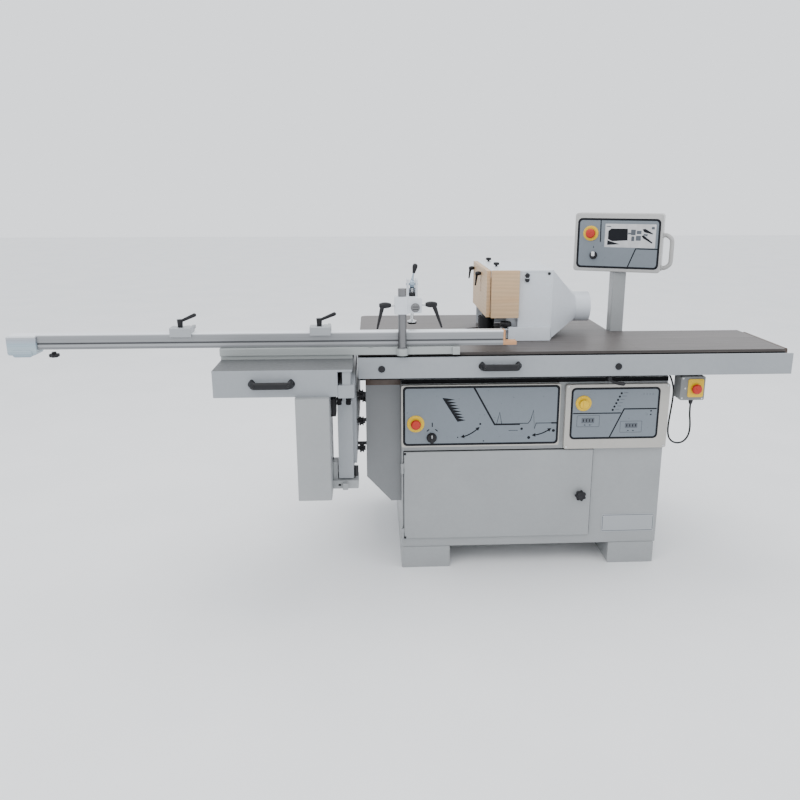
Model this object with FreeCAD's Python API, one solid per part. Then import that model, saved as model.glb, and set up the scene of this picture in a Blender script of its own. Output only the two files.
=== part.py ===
import FreeCAD, Part
import math
import os

os.makedirs("parts", exist_ok=True)
V = FreeCAD.Vector

# ---------------------------------------------------------------- driving dimensions (mm)
TABLE_TOP = 900.0          # working height of the cast table
TABLE_T = 26.0
TABLE_X0, TABLE_X1 = -61.0, 1000.0
TABLE_Y0, TABLE_Y1 = 40.0, 925.0
WING_X1, WING_Y1 = 1560.0, 451.0
CAB_X0, CAB_X1 = 100.0, 1140.0
CAB_Y0, CAB_Y1 = 97.0, 890.0
CAB_Z0, CAB_Z1 = 90.0, 785.0
DOOR_X0, DOOR_X1, DOOR_Z0, DOOR_Z1 = 110.0, 857.0, 129.0, 495.0
SPX, SPY = 475.0, 475.0    # spindle axis
SPINDLE_R = 15.0
COLLAR_R = 34.0
QUILL_R = 50.0
TILT_SLOT_R = 200.0        # radius of the tilt slots about the table surface
RAIL_X0, RAIL_X1, RAIL_Z0, RAIL_Z1 = -135.0, -81.0, 463.0, 757.0
RAIL_Y0, RAIL_Y1 = -100.0, 900.0
CARR_X0, CARR_X1, CARR_Y0, CARR_Y1 = -556.0, -128.0, -176.0, 344.0
CARR_Z0, CARR_Z1 = 793.0, 888.0
PLATE_X0, PLATE_X1, PLATE_Y0, PLATE_Y1 = -558.0, 310.0, 0.0, 180.0
PLATE_Z0, PLATE_Z1 = 902.0, 930.0
FENCE_X0, FENCE_X1, FENCE_Y0, FENCE_Y1 = -1205.0, 475.0, 18.0, 58.0
FENCE_Z1 = 985.0
COL_X, COL_Y, COL_R = 102.0, -6.0, 15.0
ARM_X, ARM_Z, ARM_R = 144.0, 1078.0, 13.0
HOOD_X0, HOOD_X1, HOOD_Y0, HOOD_Y1 = 460.0, 712.0, 262.0, 690.0
HOOD_Z0, HOOD_Z1 = 902.0, 1178.0
PORT_Z, PORT_R, PORT_X1 = 1005.0, 62.0, 905.0
ROD_X, ROD_Z, ROD_R = (26.0, 908.0), 848.0, 15.0
FIT = 0.05                 # radial clearance of a running fit
GAP = 0.5                  # free clearance between curved faces
OX, OY = 136.0, 355.5      # centre of the overall box in the layout frame

NODES = {}


def box(x0, y0, z0, x1, y1, z1):
    return Part.makeBox(x1 - x0, y1 - y0, z1 - z0, V(x0, y0, z0))


def rbox(x0, y0, z0, x1, y1, z1, r, dirs="xyz"):
    b = box(x0, y0, z0, x1, y1, z1)
    es = []
    for e in b.Edges:
        d = e.Vertexes[1].Point.sub(e.Vertexes[0].Point)
        k = "x" if abs(d.x) > 1e-6 else ("y" if abs(d.y) > 1e-6 else "z")
        if k in dirs:
            es.append(e)
    return b.makeFillet(r, es)


def cyl(x, y, z, r, h, ax=(0, 0, 1)):
    return Part.makeCylinder(r, h, V(x, y, z), V(*ax))


def cone(x, y, z, r1, r2, h, ax=(0, 0, 1)):
    return Part.makeCone(r1, r2, h, V(x, y, z), V(*ax))


def ring(x, y, z, ro, ri, h, ax=(0, 0, 1)):
    return cyl(x, y, z, ro, h, ax).cut(cyl(x, y, z, ri, h, ax))


def prism(pts, vec):
    w = Part.makePolygon([V(*p) for p in pts] + [V(*pts[0])])
    return Part.Face(w).extrude(V(*vec))


def lathe(x, y, z, prof, ax=(0, 0, 1)):
    """Solid of revolution; prof is a closed list of (radius, height)."""
    w = Part.makePolygon([V(r, 0, h) for r, h in prof] + [V(prof[0][0], 0, prof[0][1])])
    s = Part.Face(w).revolve(V(0, 0, 0), V(0, 0, 1), 360)
    s = Part.makeSolid(s) if s.ShapeType != "Solid" else s
    rot = FreeCAD.Rotation(V(0, 0, 1), V(*ax))
    s.Placement = FreeCAD.Placement(V(x, y, z), rot)
    return s


def fuse(*s):
    out = s[0]
    if len(s) > 1:
        out = s[0].multiFuse(list(s[1:]))
    return out.removeSplitter()


def cut(a, *b):
    out = a
    for t in b:
        out = out.cut(t)
    return out


def group(*s):
    return Part.makeCompound(list(s))


def mushroom(x, y, z, r, ax, t=14.0, stem=10.0):
    """Push button head: domed cap on a stem, axis pointing out."""
    prof = [(0, 0), (r * 0.42, 0), (r * 0.42, stem), (r * 0.92, stem + 1), (r, stem + 4), (r, stem + t * 0.55),
            (r * 0.9, stem + t * 0.85), (r * 0.68, stem + t), (0, stem + t + 1.5)]
    return lathe(x, y, z, prof, ax)


def lobed(x, y, z, r, h, n, ax, stem_r=0.0, stem_h=0.0):
    """Lobed hand knob, axis pointing out of the clamped part."""
    core = Part.makeCylinder(r * 0.80, h, V(0, 0, stem_h), V(0, 0, 1))
    sh = [core]
    for i in range(n):
        a = 2 * math.pi * (i + 0.5) / n
        sh.append(Part.makeCylinder(r * 0.26, h, V(r * 0.74 * math.cos(a), r * 0.74 * math.sin(a), stem_h), V(0, 0, 1)))
    if stem_h > 0:
        sh.append(Part.makeCylinder(stem_r, stem_h + 1, V(0, 0, 0), V(0, 0, 1)))
    s = sh[0].multiFuse(sh[1:]).removeSplitter()
    s.Placement = FreeCAD.Placement(V(x, y, z), FreeCAD.Rotation(V(0, 0, 1), V(*ax)))
    return s


def lever(hub, ax, hub_len, hub_r, tip, arm_r0, arm_r1, base_r=0.0, base_len=0.0, from_end=0.72):
    """Adjustable clamping lever: tapered hub, tapered arm with a round end, threaded stud at its base."""
    a = V(*ax)
    a.normalize()
    h = V(*hub)
    sh = [Part.makeCone(hub_r * 0.82, hub_r, hub_len, h, a)]
    p0 = h + a * (hub_len * from_end)
    d = V(*tip).sub(p0)
    sh.append(Part.makeCone(arm_r0, arm_r1, d.Length, p0, d))
    sh.append(Part.makeSphere(arm_r1, V(*tip)))
    if base_len > 0:
        sh.append(Part.makeCylinder(base_r, base_len + 2, h - a * base_len, a))
    return fuse(*sh)


def bridge(x0, x1, yface, z, reach, bar_h, bar_t, leg):
    """Bridge handle standing out of a -Y face, with finger room behind the bar."""
    outer = rbox(x0, yface - reach, z - bar_h / 2, x1, yface, z + bar_h / 2, 5, "xz")
    inner = box(x0 + leg, yface - reach + bar_t, z - bar_h, x1 - leg, yface + 1, z + bar_h)
    return outer.cut(inner)


def add(name, shape, parts=None):
    NODES[name] = shape


# ---------------------------------------------------------------- base
def foot(x0, x1):
    o = rbox(x0, 93, 0, x1, 885, 90, 4, "y")
    return o.cut(box(x0 + 7, 93 + 7, 7, x1 - 7, 886, 83))


add("plinth_feet", group(foot(100, 294), foot(944, 1132)))

cab = rbox(CAB_X0, CAB_Y0, CAB_Z0, CAB_X1, CAB_Y1, CAB_Z1, 6, "z")
cab = cut(cab, box(CAB_X0 + 5, CAB_Y0 + 5, CAB_Z0 + 6, CAB_X1 - 5, CAB_Y1 - 5, CAB_Z1 - 8),
          box(CAB_X0 + 35, CAB_Y0 + 35, CAB_Z1 - 10, CAB_X1 - 35, CAB_Y1 - 35, CAB_Z1 + 1),
          box(124, CAB_Y0 - 1, 141, 843, CAB_Y0 + 6, 483))
add("base_cabinet", cab)

# sheet cover over the left end of the cabinet, open towards it
prof = [(-36, 130, CAB_Z1), (-36, 130, 383), (60, 130, 278), (CAB_X0 - 0.5, 130, 278), (CAB_X0 - 0.5, 130, CAB_Z1)]
inn = [(-32, 134, CAB_Z1 - 4), (-32, 134, 384.6), (62, 134, 282), (CAB_X0 + 1, 134, 282), (CAB_X0 + 1, 134, CAB_Z1 - 4)]
add("motor_side_cover", prism(prof, (0, 730, 0)).cut(prism(inn, (0, 722, 0))))

# hinged door with a folded edge and two hinge knuckles
door = rbox(DOOR_X0, 86, DOOR_Z0, DOOR_X1, 95.5, DOOR_Z1, 3, "xz")
door = door.cut(box(DOOR_X0 + 3, 89, DOOR_Z0 + 3, DOOR_X1 - 3, 97, DOOR_Z1 - 3))
door = fuse(door, box(DOOR_X0 + 200, 88.5, DOOR_Z0 + 2, DOOR_X0 + 230, 95, DOOR_Z1 - 2),
            box(DOOR_X0 + 480, 88.5, DOOR_Z0 + 2, DOOR_X0 + 510, 95, DOOR_Z1 - 2),
            ring(812, 88.5, 307, 15, 8 + FIT, 7, (0, 1, 0)))
door = door.cut(cyl(812, 80, 307, 8 + FIT, 20, (0, 1, 0)))
HX, HY = 103.0, 86.0
for z0 in (DOOR_Z0 + 26, DOOR_Z1 - 66):
    door = fuse(door, cyl(HX, HY, z0, 6, 20), box(HX, 86.6, z0, HX + 10, 90, z0 + 20))
    door = door.cut(cyl(HX, HY, z0 - 1, 3 + FIT, 22))
add("door", door)
pins = []
for z0 in (DOOR_Z0 + 26, DOOR_Z1 - 66):
    lo = fuse(cyl(HX, HY, z0 - 20.5, 6, 20), box(HX - 5, HY, z0 - 20.5, HX + 3, CAB_Y0, z0 - 0.5), cyl(HX, HY, z0 - 12, 3, 32))
    pins.append(lo)
add("door_hinge_posts", group(*pins))
knob = fuse(lobed(812, 78, 307, 23, 20, 7, (0, -1, 0)), cyl(812, 77, 307, 8, 34, (0, 1, 0)),
            cyl(812, 77, 307, 14, 8.5, (0, 1, 0)), rbox(803, 103, 300, 821, 107, 345, 2, "y"))
add("door_latch_knob", knob)


# ---------------------------------------------------------------- tables
corner = [(TABLE_X0 + 30 - 30 * math.sin(math.radians(t)), TABLE_Y1 - 30 + 30 * math.cos(math.radians(t)), TABLE_TOP - TABLE_T)
          for t in range(0, 91, 10)]
tab = prism([(TABLE_X0, TABLE_Y0, TABLE_TOP - TABLE_T), (TABLE_X1, TABLE_Y0, TABLE_TOP - TABLE_T),
             (TABLE_X1, TABLE_Y1, TABLE_TOP - TABLE_T)] + corner, (0, 0, TABLE_T))
apron = box(-20, 97, CAB_Z1, 985, 890, TABLE_TOP - TABLE_T).cut(box(-6, 111, CAB_Z1 - 1, 971, 876, 900))
rib = [box(-10, 240, 842, 320, 252, 876), box(630, 240, 842, 975, 252, 876), box(-10, 700, 842, 975, 712, 876),
       box(200, 105, 842, 212, 880, 876), box(760, 105, 842, 772, 880, 876)]
tab = fuse(tab, apron, *rib)
for x in ROD_X:
    tab = fuse(tab, box(x - 26, 97, ROD_Z - 24, x + 26, 240, 876))
    tab = tab.cut(cyl(x, 90, ROD_Z, ROD_R + FIT, 164, (0, 1, 0)))
tab = tab.cut(cyl(SPX, SPY, 860, 120, 60)).cut(cyl(SPX, SPY, TABLE_TOP - 10, 134, 20))
add("main_table", tab)
add("table_insert_rings", fuse(ring(SPX, SPY, TABLE_TOP - 10, 133.6, 106, 10),
                               ring(SPX, SPY, TABLE_TOP - 10, 106.2, 92, 6)))
wing = rbox(TABLE_X1, TABLE_Y0, TABLE_TOP - 24, WING_X1, WING_Y1, TABLE_TOP, 1.5, "y")
wing = fuse(wing, box(TABLE_X1 + 3, 60, 828, WING_X1 - 8, 72, 878), box(TABLE_X1 + 3, 420, 828, WING_X1 - 8, 432, 878),
            box(1540, 60, 828, 1552, 432, 878), box(1270, 60, 840, 1282, 432, 878), box(TABLE_X1, 60, 828, TABLE_X1 + 12, 432, 878))
add("table_wing", wing)
add("wing_end_rail", fuse(rbox(1561, 61, 862, 1580, 409, 899, 7, "y"), box(1560, 90, 868, 1565, 110, 892),
                          box(1560, 360, 868, 1565, 380, 892)))

# ---------------------------------------------------------------- front pull-out bar
beam = rbox(-60, 0, 812, 1572, 9, 891, 2, "x")
beam = fuse(beam, box(-60, 0.5, 812, 1572, 27, 818), box(-60, 0.5, 884, 1572, 11, 890.5),
            *[box(x - 22, 8, 826, x + 22, 20, 872) for x in ROD_X])
for x in ROD_X:
    beam = beam.cut(cyl(x, -1, ROD_Z, ROD_R - 3, 30, (0, 1, 0)))
add("front_bar", beam)
add("front_bar_end_cap", rbox(1572, -0.5, 811.5, 1579, 28, 891, 2, "x"))
rods, caps = [], []
for x in ROD_X:
    rods.append(fuse(cyl(x, 20, ROD_Z, ROD_R, 640, (0, 1, 0)), cyl(x, 1, ROD_Z, ROD_R - 3.05, 20, (0, 1, 0))))
    caps.append(lathe(x, 0, ROD_Z, [(0, -0.6), (10.5, -0.6), (12, 0.0), (12, 2.0), (10.0, 5.0), (0, 5.6)], (0, -1, 0)))
add("front_bar_guide_rods", group(*rods))
add("front_bar_caps", group(*[c.cut(cyl(x, 0, ROD_Z, 13, 30, (0, 1, 0))) for c, x in zip(caps, ROD_X)]))
add("front_bar_handle", bridge(385.5, 541.5, 0, 855, 38, 36, 15, 22))
add("front_bar_lock_lever", lever((881, 14, 811.4), (0, 0, -1), 20, 10, (925, -16, 785), 5.5, 7.5, 6, 0))

# ---------------------------------------------------------------- control panels on the cabinet
add("left_control_panel", rbox(100, 78, 518, 715, CAB_Y0, 765, 8, "y").cut(cyl(155, 70, 613, 13, 22, (0, 1, 0))))
rp = rbox(736, 78, 501, 1142, CAB_Y0, 760, 8, "y")
add("right_control_panel", rp)
add("estop_collars", group(lathe(155, 78, 613, [(13, 0), (33.5, 0), (33.5, 3), (30, 6), (13, 6)], (0, -1, 0)),
                           lathe(805, 78, 686, [(13, 0), (31, 0), (31, 3), (28, 6), (13, 6)], (0, -1, 0))))
add("left_estop_button", mushroom(155, 77.9, 613, 19.5, (0, -1, 0), 15, 10))
add("main_isolator_knob", fuse(cyl(805, 77.9, 686, 12.5, 10, (0, -1, 0)), cyl(805, 68, 686, 17, 9, (0, -1, 0)),
                               rbox(799.5, 50, 682, 810.5, 60, 704, 3, "y")))
add("left_selector_knob", fuse(cyl(217, 77.9, 556, 20, 12, (0, -1, 0)), rbox(211, 54, 538, 223, 67, 574, 3, "y")))

# hanging stop box below the wing
sb = rbox(1172, 52, 700, 1267, 120, 793, 5, "y").cut(cyl(1231, 40, 746, 13, 26, (0, 1, 0)))
sb = fuse(sb, box(1180, 76, 792, 1240, 112, 876))
add("estop_box", sb)
add("estop_box_plate", rbox(1200, 49, 712, 1261, 52, 784, 3, "y").cut(cyl(1231, 40, 746, 13, 30, (0, 1, 0))))
add("box_estop_button", mushroom(1231, 51.9, 746, 19.5, (0, -1, 0), 15, 9))

# cable of the hanging stop box: out of the gland, one hanging loop, back under the table
CABLE_D = 7.0
ROUTE = [(1230, 86, 676), (1230, 86, 640), (1235, 85, 605), (1237, 84, 572), (1231, 84, 542), (1213, 84, 520), (1185, 85, 515),
         (1160, 86, 529), (1150.5, 88, 556), (1151.5, 92, 588), (1157, 99, 622), (1166, 112, 656), (1175, 127, 690), (1178, 136, 727),
         (1168, 138, 762), (1150, 138, 794), (1133, 138, 826), (1125, 138, 853)]


def cable(points, dia):
    P = [V(*p) for p in points]
    edges, start, radii, length = [], P[0], [], 0.0
    for i in range(1, len(P) - 1):
        a, b = P[i - 1].sub(P[i]), P[i + 1].sub(P[i])
        la, lb = a.Length, b.Length
        a.normalize()
        b.normalize()
        turn = math.pi - a.getAngle(b)
        r = 0.45 * min(la, lb) / math.tan(turn / 2)
        t = 0.45 * min(la, lb)
        p1, p2 = P[i] + a * t, P[i] + b * t
        bis = (a + b)
        bis.normalize()
        c = P[i] + bis * math.hypot(t, r)
        mid = c - bis * r
        edges.append(Part.LineSegment(start, p1).toShape())
        edges.append(Part.Arc(p1, mid, p2).toShape())
        start = p2
        radii.append(round(r, 1))
    edges.append(Part.LineSegment(start, P[-1]).toShape())
    w = Part.Wire(edges)
    d0 = P[1].sub(P[0])
    c = Part.Wire(Part.makeCircle(dia / 2, P[0], d0))
    s = w.makePipeShell([c], True, False)
    s = Part.makeSolid(s) if s.ShapeType != "Solid" else s
    print("cable radii", radii, "length %.1f" % w.Length, "volume ratio %.4f" % (s.Volume / (math.pi * dia * dia / 4 * w.Length)))
    return s


add("estop_cable", cable(ROUTE, CABLE_D))
g = lathe(1230, 86, 700, [(0, 0), (11, 0), (11, 8), (9, 9), (8, 16), (5.4, 24), (0, 24)], (0, 0, -1))
d_in = V(*ROUTE[-1]).sub(V(*ROUTE[-2]))
d_in.normalize()
e2 = V(*ROUTE[-1])
g2 = Part.makeCylinder(9, 14, e2, d_in)
add("cable_glands", group(g, fuse(g2, box(e2.x - 16, e2.y - 9, e2.z + 8, e2.x + 10, e2.y + 9, 876))))

# ---------------------------------------------------------------- rail for the carriage
rail = rbox(RAIL_X0, RAIL_Y0, RAIL_Z0, RAIL_X1, RAIL_Y1, RAIL_Z1, 4, "y")
rail = cut(rail, box(RAIL_X0 + 6, RAIL_Y0 + 4, RAIL_Z0 + 6, RAIL_X1 - 6, RAIL_Y1 + 1, 556),
           box(RAIL_X0 + 6, RAIL_Y0 + 4, 562, RAIL_X1 - 6, RAIL_Y1 + 1, 655),
           box(RAIL_X0 + 6, RAIL_Y0 + 4, 661, RAIL_X1 - 6, RAIL_Y1 + 1, RAIL_Z1 - 8))
rail = fuse(rail, box(-116, RAIL_Y0, RAIL_Z1 - 1, -102.6, RAIL_Y1, 784))
add("carriage_rail", rail)
STUD_Z = (738.0, 632.0, 524.0)
mp = rbox(RAIL_X1, -62, 508, -69, 880, 757, 3, "x")
for z in STUD_Z:
    for y in (66, 800):
        mp = mp.cut(cyl(-90, y, z, 8.5, 40, (1, 0, 0)))
# the plate is carried by three spacer feet against the side cover
add("rail_mount_plate", mp)
add("rail_mount_feet", group(*[cyl(-69, y, z, 7, 33, (1, 0, 0)) for y in (150, 830) for z in (718, 612, 516)]))
nuts = []
for z in STUD_Z:
    for y in (66, 800):
        nuts.append(fuse(lobed(-60.5, y, z, 21, 16, 6, (1, 0, 0)), cyl(-80.9, y, z, 8.4, 36, (1, 0, 0)), cyl(-46, y, z, 9, 8, (1, 0, 0))))
add("rail_lobe_nuts", group(*nuts))
add("table_wiper_strip", rbox(-67, 30, 640, -61, 44, 899, 1.5, "y"))

# ---------------------------------------------------------------- sliding carriage
cb = rbox(CARR_X0, CARR_Y0, CARR_Z0, CARR_X1, CARR_Y1, 880, 3, "z")
cb = cb.cut(box(CARR_X0 + 6, CARR_Y0 + 6, CARR_Z0 - 1, CARR_X1 - 6, CARR_Y1 - 6, 874))
cb = fuse(cb, rbox(CARR_X0, CARR_Y0, 880, -77, CARR_Y1, CARR_Z1, 1.5, "y"))
add("carriage_body", cb)
add("carriage_handle", bridge(-432, -276, CARR_Y0, 840, 38, 38, 15, 22))
brk = fuse(rbox(-127.9, CARR_Y0 + 2, 786, -71, CARR_Y1 - 2, 832, 3, "y"), box(-112, CARR_Y0 + 6, 830, -84, CARR_Y1 - 6, 880))
brk = brk.cut(cyl(-125.6, -80, 770, 3.5, 45)).cut(cyl(-93, -80, 770, 3.5, 45))
add("carriage_bearing_block", brk)
add("upper_guide_roller_left", fuse(ring(-125.6, -80, 758.5, 9.2, 3.5, 26)))
add("upper_guide_roller_right", fuse(ring(-93.0, -80, 758.5, 9.2, 3.5, 26)))
pinz = [fuse(cyl(x, -80, 757.8, 3.45, 35)) for x in (-125.6, -93.0)]
add("upper_roller_pins", group(*pinz))
arm = rbox(-275, -205, 420, -157, -5, CARR_Z0, 5, "z")
arm = arm.cut(box(-270, -200, 419, -162, -10, CARR_Z0 - 4))
add("hanging_arm", arm)
lb = fuse(rbox(-157, -110, 427, -64, -20, 458, 3, "y"))
lb = lb.cut(cyl(-133, -120, 441, 5, 110, (0, 1, 0)))
lb = fuse(lb, rbox(-121, -128, 428, -102, -100, 452, 2, "y"), rbox(-157, -100, 700, -141, -40, 765, 2, "y"),
          cyl(-72.3, -80, 456, 3.45, 50),
          rbox(-157, -95, 456, -138, -40, 524, 3, "z"))
add("lower_roller_bracket", lb)
add("lower_roller_right", ring(-72.3, -80, 466, 8.2, 3.5, 38))

# ---------------------------------------------------------------- fence carrier and fence
pl = rbox(PLATE_X0, PLATE_Y0, PLATE_Z0, PLATE_X1 - 24, PLATE_Y1, PLATE_Z1, 2, "x")
for y in (92, 132):
    pl = cut(pl, box(PLATE_X0 - 1, y, 923, PLATE_X1, y + 9, 931), box(PLATE_X0 - 1, y - 5, 914, PLATE_X1, y + 14, 923))
pl = fuse(pl, box(PLATE_X0 + 2, 6, CARR_Z1, -80, 174, PLATE_Z0 + 1))
pl = pl.cut(box(-20, -1, 927, -6, 10, 931))
add("fence_carrier", pl)
add("carrier_end_shoe", rbox(PLATE_X1 - 24, -10, 901.5, PLATE_X1 + 2, PLATE_Y1 + 6, 930, 3, "x"))
fn = rbox(FENCE_X0, FENCE_Y0, PLATE_Z1, FENCE_X1, FENCE_Y1, FENCE_Z1, 1.5, "x")
fn = cut(fn, box(FENCE_X0 - 1, FENCE_Y0 + 6, 939, FENCE_X1 + 1, FENCE_Y1 - 6, 978),
         box(FENCE_X0 - 1, FENCE_Y0 - 1, 950, FENCE_X1 + 1, FENCE_Y0 + 3, 953.5))
add("fence_profile", fn)
tip = fuse(box(FENCE_X1, FENCE_Y0 + 1, 931, FENCE_X1 + 8, FENCE_Y1 - 1, 984.5), box(FENCE_X1, FENCE_Y0 + 1, 931, 525, FENCE_Y1 - 1, 944),
           box(FENCE_X1 - 60, FENCE_Y0 + 6.5, 940, FENCE_X1 + 2, FENCE_Y1 - 6.5, 977))
add("fence_wood_tip", tip)
add("fence_extension_bar", rbox(FENCE_X0, FENCE_Y0 + 7, 940.5, -560, FENCE_Y1 - 7, 976.5, 2, "x").cut(
    box(FENCE_X0 - 1, FENCE_Y0 + 11, 945, -559, FENCE_Y1 - 11, 972)))
endp = rbox(-1308, 8, 912, FENCE_X0 - 1, 68, 982, 8, "y")
endp = fuse(endp, rbox(-1290, 6, 905, -1222, 70, 930, 9, "y"))
add("fence_extension_handle", endp)
add("extension_lock_knob", fuse(lobed(-1157, 38, 918, 19, 20, 6, (0, 0, -1)), cyl(-1157, 38, 917, 5, 12.8)))


def stop_parts(x, tag):
    b = rbox(x - 38, 8, FENCE_Z1 + 0.3, x + 38, 64, 1005, 3, "x")
    b = fuse(b, rbox(x - 38, 8, 972, x + 38, 17.4, 1000, 2, "x"), rbox(x - 38, 58.6, 972, x + 38, 64, 1000, 2, "x"),
             box(x + 10, 60, 984, x + 37, 80, 1003))
    b = b.cut(box(x + 22, 65, 980, x + 34, 90, 1010))
    b = b.cut(cyl(x + 5, 72.5, 994, 3 + FIT, 40, (1, 0, 0)))
    b = b.cut(cyl(x - 4, 36, 980, 5 + FIT, 40))
    add("stop_block_" + tag, b)
    f = fuse(cyl(x + 22.6, 72.5, 994, 6.8, 10.8, (1, 0, 0)), cyl(x + 11, 72.5, 994, 3, 25, (1, 0, 0)),
             rbox(x + 22.6, 74, 988, x + 33.4, 116, 1000, 2, "x"))
    add("stop_finger_" + tag, f)
    lv = lever((x - 4, 36, 1005.5), (0, 0, 1), 27, 11, (x + 52, 22, 1050), 5.0, 7.0, 5, 18)
    add("stop_lever_" + tag, lv)


stop_parts(-695.0, "left")
stop_parts(-195.0, "right")

# ---------------------------------------------------------------- hold-down clamp
col = fuse(cyl(COL_X, COL_Y, 903, COL_R, 241), cyl(COL_X, COL_Y, 901.5, 21, 26.5), cyl(COL_X, COL_Y, 928, 18, 3),
           box(COL_X - 16, COL_Y + 2, 903, COL_X + 16, 3, 926))
col = col.cut(box(COL_X - 40, 0.0, 880, COL_X + 40, 40, 930.01))
add("clamp_column", col)
hd = fuse(rbox(COL_X - 28, COL_Y - 24, 1054, COL_X + 22, COL_Y + 24, 1116, 6, "z"),
          rbox(COL_X + 18, COL_Y - 22, 1058, ARM_X + 28, COL_Y + 24, 1112, 6, "y"))
hd = hd.cut(cyl(COL_X, COL_Y, 1040, COL_R + FIT, 120)).cut(cyl(ARM_X + 4, -60, ARM_Z, ARM_R + FIT, 120, (0, 1, 0)))
hd = hd.cut(cyl(COL_X - 34, COL_Y, 1084, 5 + FIT, 24, (1, 0, 0))).cut(cyl(ARM_X + 18.5, COL_Y, 1086, 5 + FIT, 20, (1, 0, 0)))
add("clamp_head", hd)
AX = ARM_X + 4
tube = fuse(ring(AX, -42, ARM_Z, ARM_R, 9.5, 104, (0, 1, 0)), cyl(AX, 60, ARM_Z, ARM_R, 14, (0, 1, 0)))
add("clamp_arm_tube", tube)
yk = rbox(AX - 26, 74, 1062, AX + 14, 116, 1100, 4, "z")
yk = fuse(yk, rbox(AX - 26, 76, 1098, AX - 18, 114, 1168, 3, "x"), rbox(AX + 6, 76, 1098, AX + 14, 114, 1168, 3, "x"))
PX = AX - 6
yk = yk.cut(cyl(PX, 95, 1050, 6 + FIT, 60)).cut(cyl(AX - 30, 95, 1148, 4 + FIT, 60, (1, 0, 0)))
add("clamp_yoke", yk)
ecc = fuse(Part.makeCylinder(15, 17, V(AX - 14.5, 88.5, 1148), V(1, 0, 0)), cyl(AX - 28, 95, 1148, 4, 44, (1, 0, 0)),
           Part.makeCone(5.5, 4, 46, V(AX - 6, 95, 1154), V(0, 0.04, 1)))
add("clamp_eccentric", ecc)
add("clamp_ball_knob", Part.makeSphere(10, V(AX - 6, 97.2, 1206)).cut(cyl(AX - 6, 96.9, 1190, 4.6, 10.2)))
pg = fuse(cyl(PX, 95, 1010, 6, 122), cone(PX, 95, 1000, 17, 15, 12), cyl(PX, 95, 1011, 10, 6))
add("clamp_plunger", pg)
add("clamp_lever_column", lever((62, COL_Y, 1084), (-1, 0, 0), 43, 11, (12, -22, 1003), 7.5, 4.0, 5, 24))
add("clamp_lever_arm", lever((185, COL_Y, 1086), (1, 0, 0), 43, 11, (243, -22, 1007), 7.5, 4.0, 5, 20.5))

# ---------------------------------------------------------------- cutter hood
T = 3.0
outer = [(HOOD_X0, HOOD_Y0), (HOOD_X1 - 14, HOOD_Y0), (HOOD_X1 - 4, HOOD_Y0 + 4), (HOOD_X1, HOOD_Y0 + 14), (HOOD_X1, HOOD_Y1 - 14),
         (HOOD_X1 - 4, HOOD_Y1 - 4), (HOOD_X1 - 14, HOOD_Y1), (HOOD_X0, HOOD_Y1)]
inner = [(HOOD_X0 - 5, HOOD_Y0 + T), (HOOD_X1 - 15, HOOD_Y0 + T), (HOOD_X1 - 6, HOOD_Y0 + 6), (HOOD_X1 - T, HOOD_Y0 + 15), (HOOD_X1 - T, HOOD_Y1 - 15),
         (HOOD_X1 - 6, HOOD_Y1 - 6), (HOOD_X1 - 15, HOOD_Y1 - T), (HOOD_X0 - 5, HOOD_Y1 - T)]
hs = prism([(x, y, HOOD_Z0) for x, y in outer], (0, 0, HOOD_Z1 - HOOD_Z0))
hs = hs.cut(prism([(x, y, HOOD_Z0 - 5) for x, y in inner], (0, 0, HOOD_Z1 - HOOD_Z0 + 5 - T)))
hs = cut(hs, box(HOOD_X0 - 1, HOOD_Y0 - 1, HOOD_Z0 - 1, 571, HOOD_Y0 + 4, 1150), box(571, HOOD_Y0 - 1, HOOD_Z0 - 1, 800, HOOD_Y0 + 4, 950),
         box(HOOD_X1 - 10, HOOD_Y0 + 24, HOOD_Z0 + 12, HOOD_X1 + 10, HOOD_Y1 - 24, HOOD_Z1 - 12))
# clamp brackets for the wooden panels
hs = fuse(hs, box(HOOD_X0, 410, 1110, HOOD_X0 + 4, 460, HOOD_Z1 - 1), box(HOOD_X0, 630, 1110, HOOD_X0 + 4, HOOD_Y1 - 1, HOOD_Z1 - 1))
hs = hs.cut(cyl(HOOD_X0 - 2, 432, 1150, 5 + FIT, 10, (1, 0, 0))).cut(cyl(HOOD_X0 - 2, 652, 1150, 5 + FIT, 10, (1, 0, 0)))
hs = hs.cut(cyl(505, 650, HOOD_Z1 - 5, 5 + FIT, 10)).cut(cyl(505, 425, HOOD_Z1 - 5, 5 + FIT, 10))
add("hood_shell", hs)
add("hood_skirt", fuse(rbox(533, 245, 901, 700, 249, 957, 1.2, "x"), box(533, 245, 948, 700, HOOD_Y0 - 0.2, 952), box(506, 247, 946, 540, 289, 950),
                       box(530, 288, 904, 600, 291, 1000)))


def rect_to_round(x0, y0, y1, z0, z1, xr, yr, zr, r):
    """Square-to-round sheet transition as a solid between a rectangle at x0 and a circle at xr."""
    n = 10
    rect = []
    for (ya, za), (yb, zb) in (((y0, z0), (y1, z0)), ((y1, z0), (y1, z1)), ((y1, z1), (y0, z1)), ((y0, z1), (y0, z0))):
        rect += [(ya + (yb - ya) * i / n, za + (zb - za) * i / n) for i in range(n)]
    cy, cz = (y0 + y1) / 2, (z0 + z1) / 2
    circ = []
    for y, z in rect:
        a = math.atan2((z - cz) / (z1 - z0), (y - cy) / (y1 - y0))
        circ.append((yr + r * math.cos(a), zr + r * math.sin(a)))
    w0 = Part.makePolygon([V(x0, y, z) for y, z in rect] + [V(x0, *rect[0])])
    w1 = Part.makePolygon([V(xr, y, z) for y, z in circ] + [V(xr, *circ[0])])
    return Part.makeLoft([w0, w1], True, True)


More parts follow.
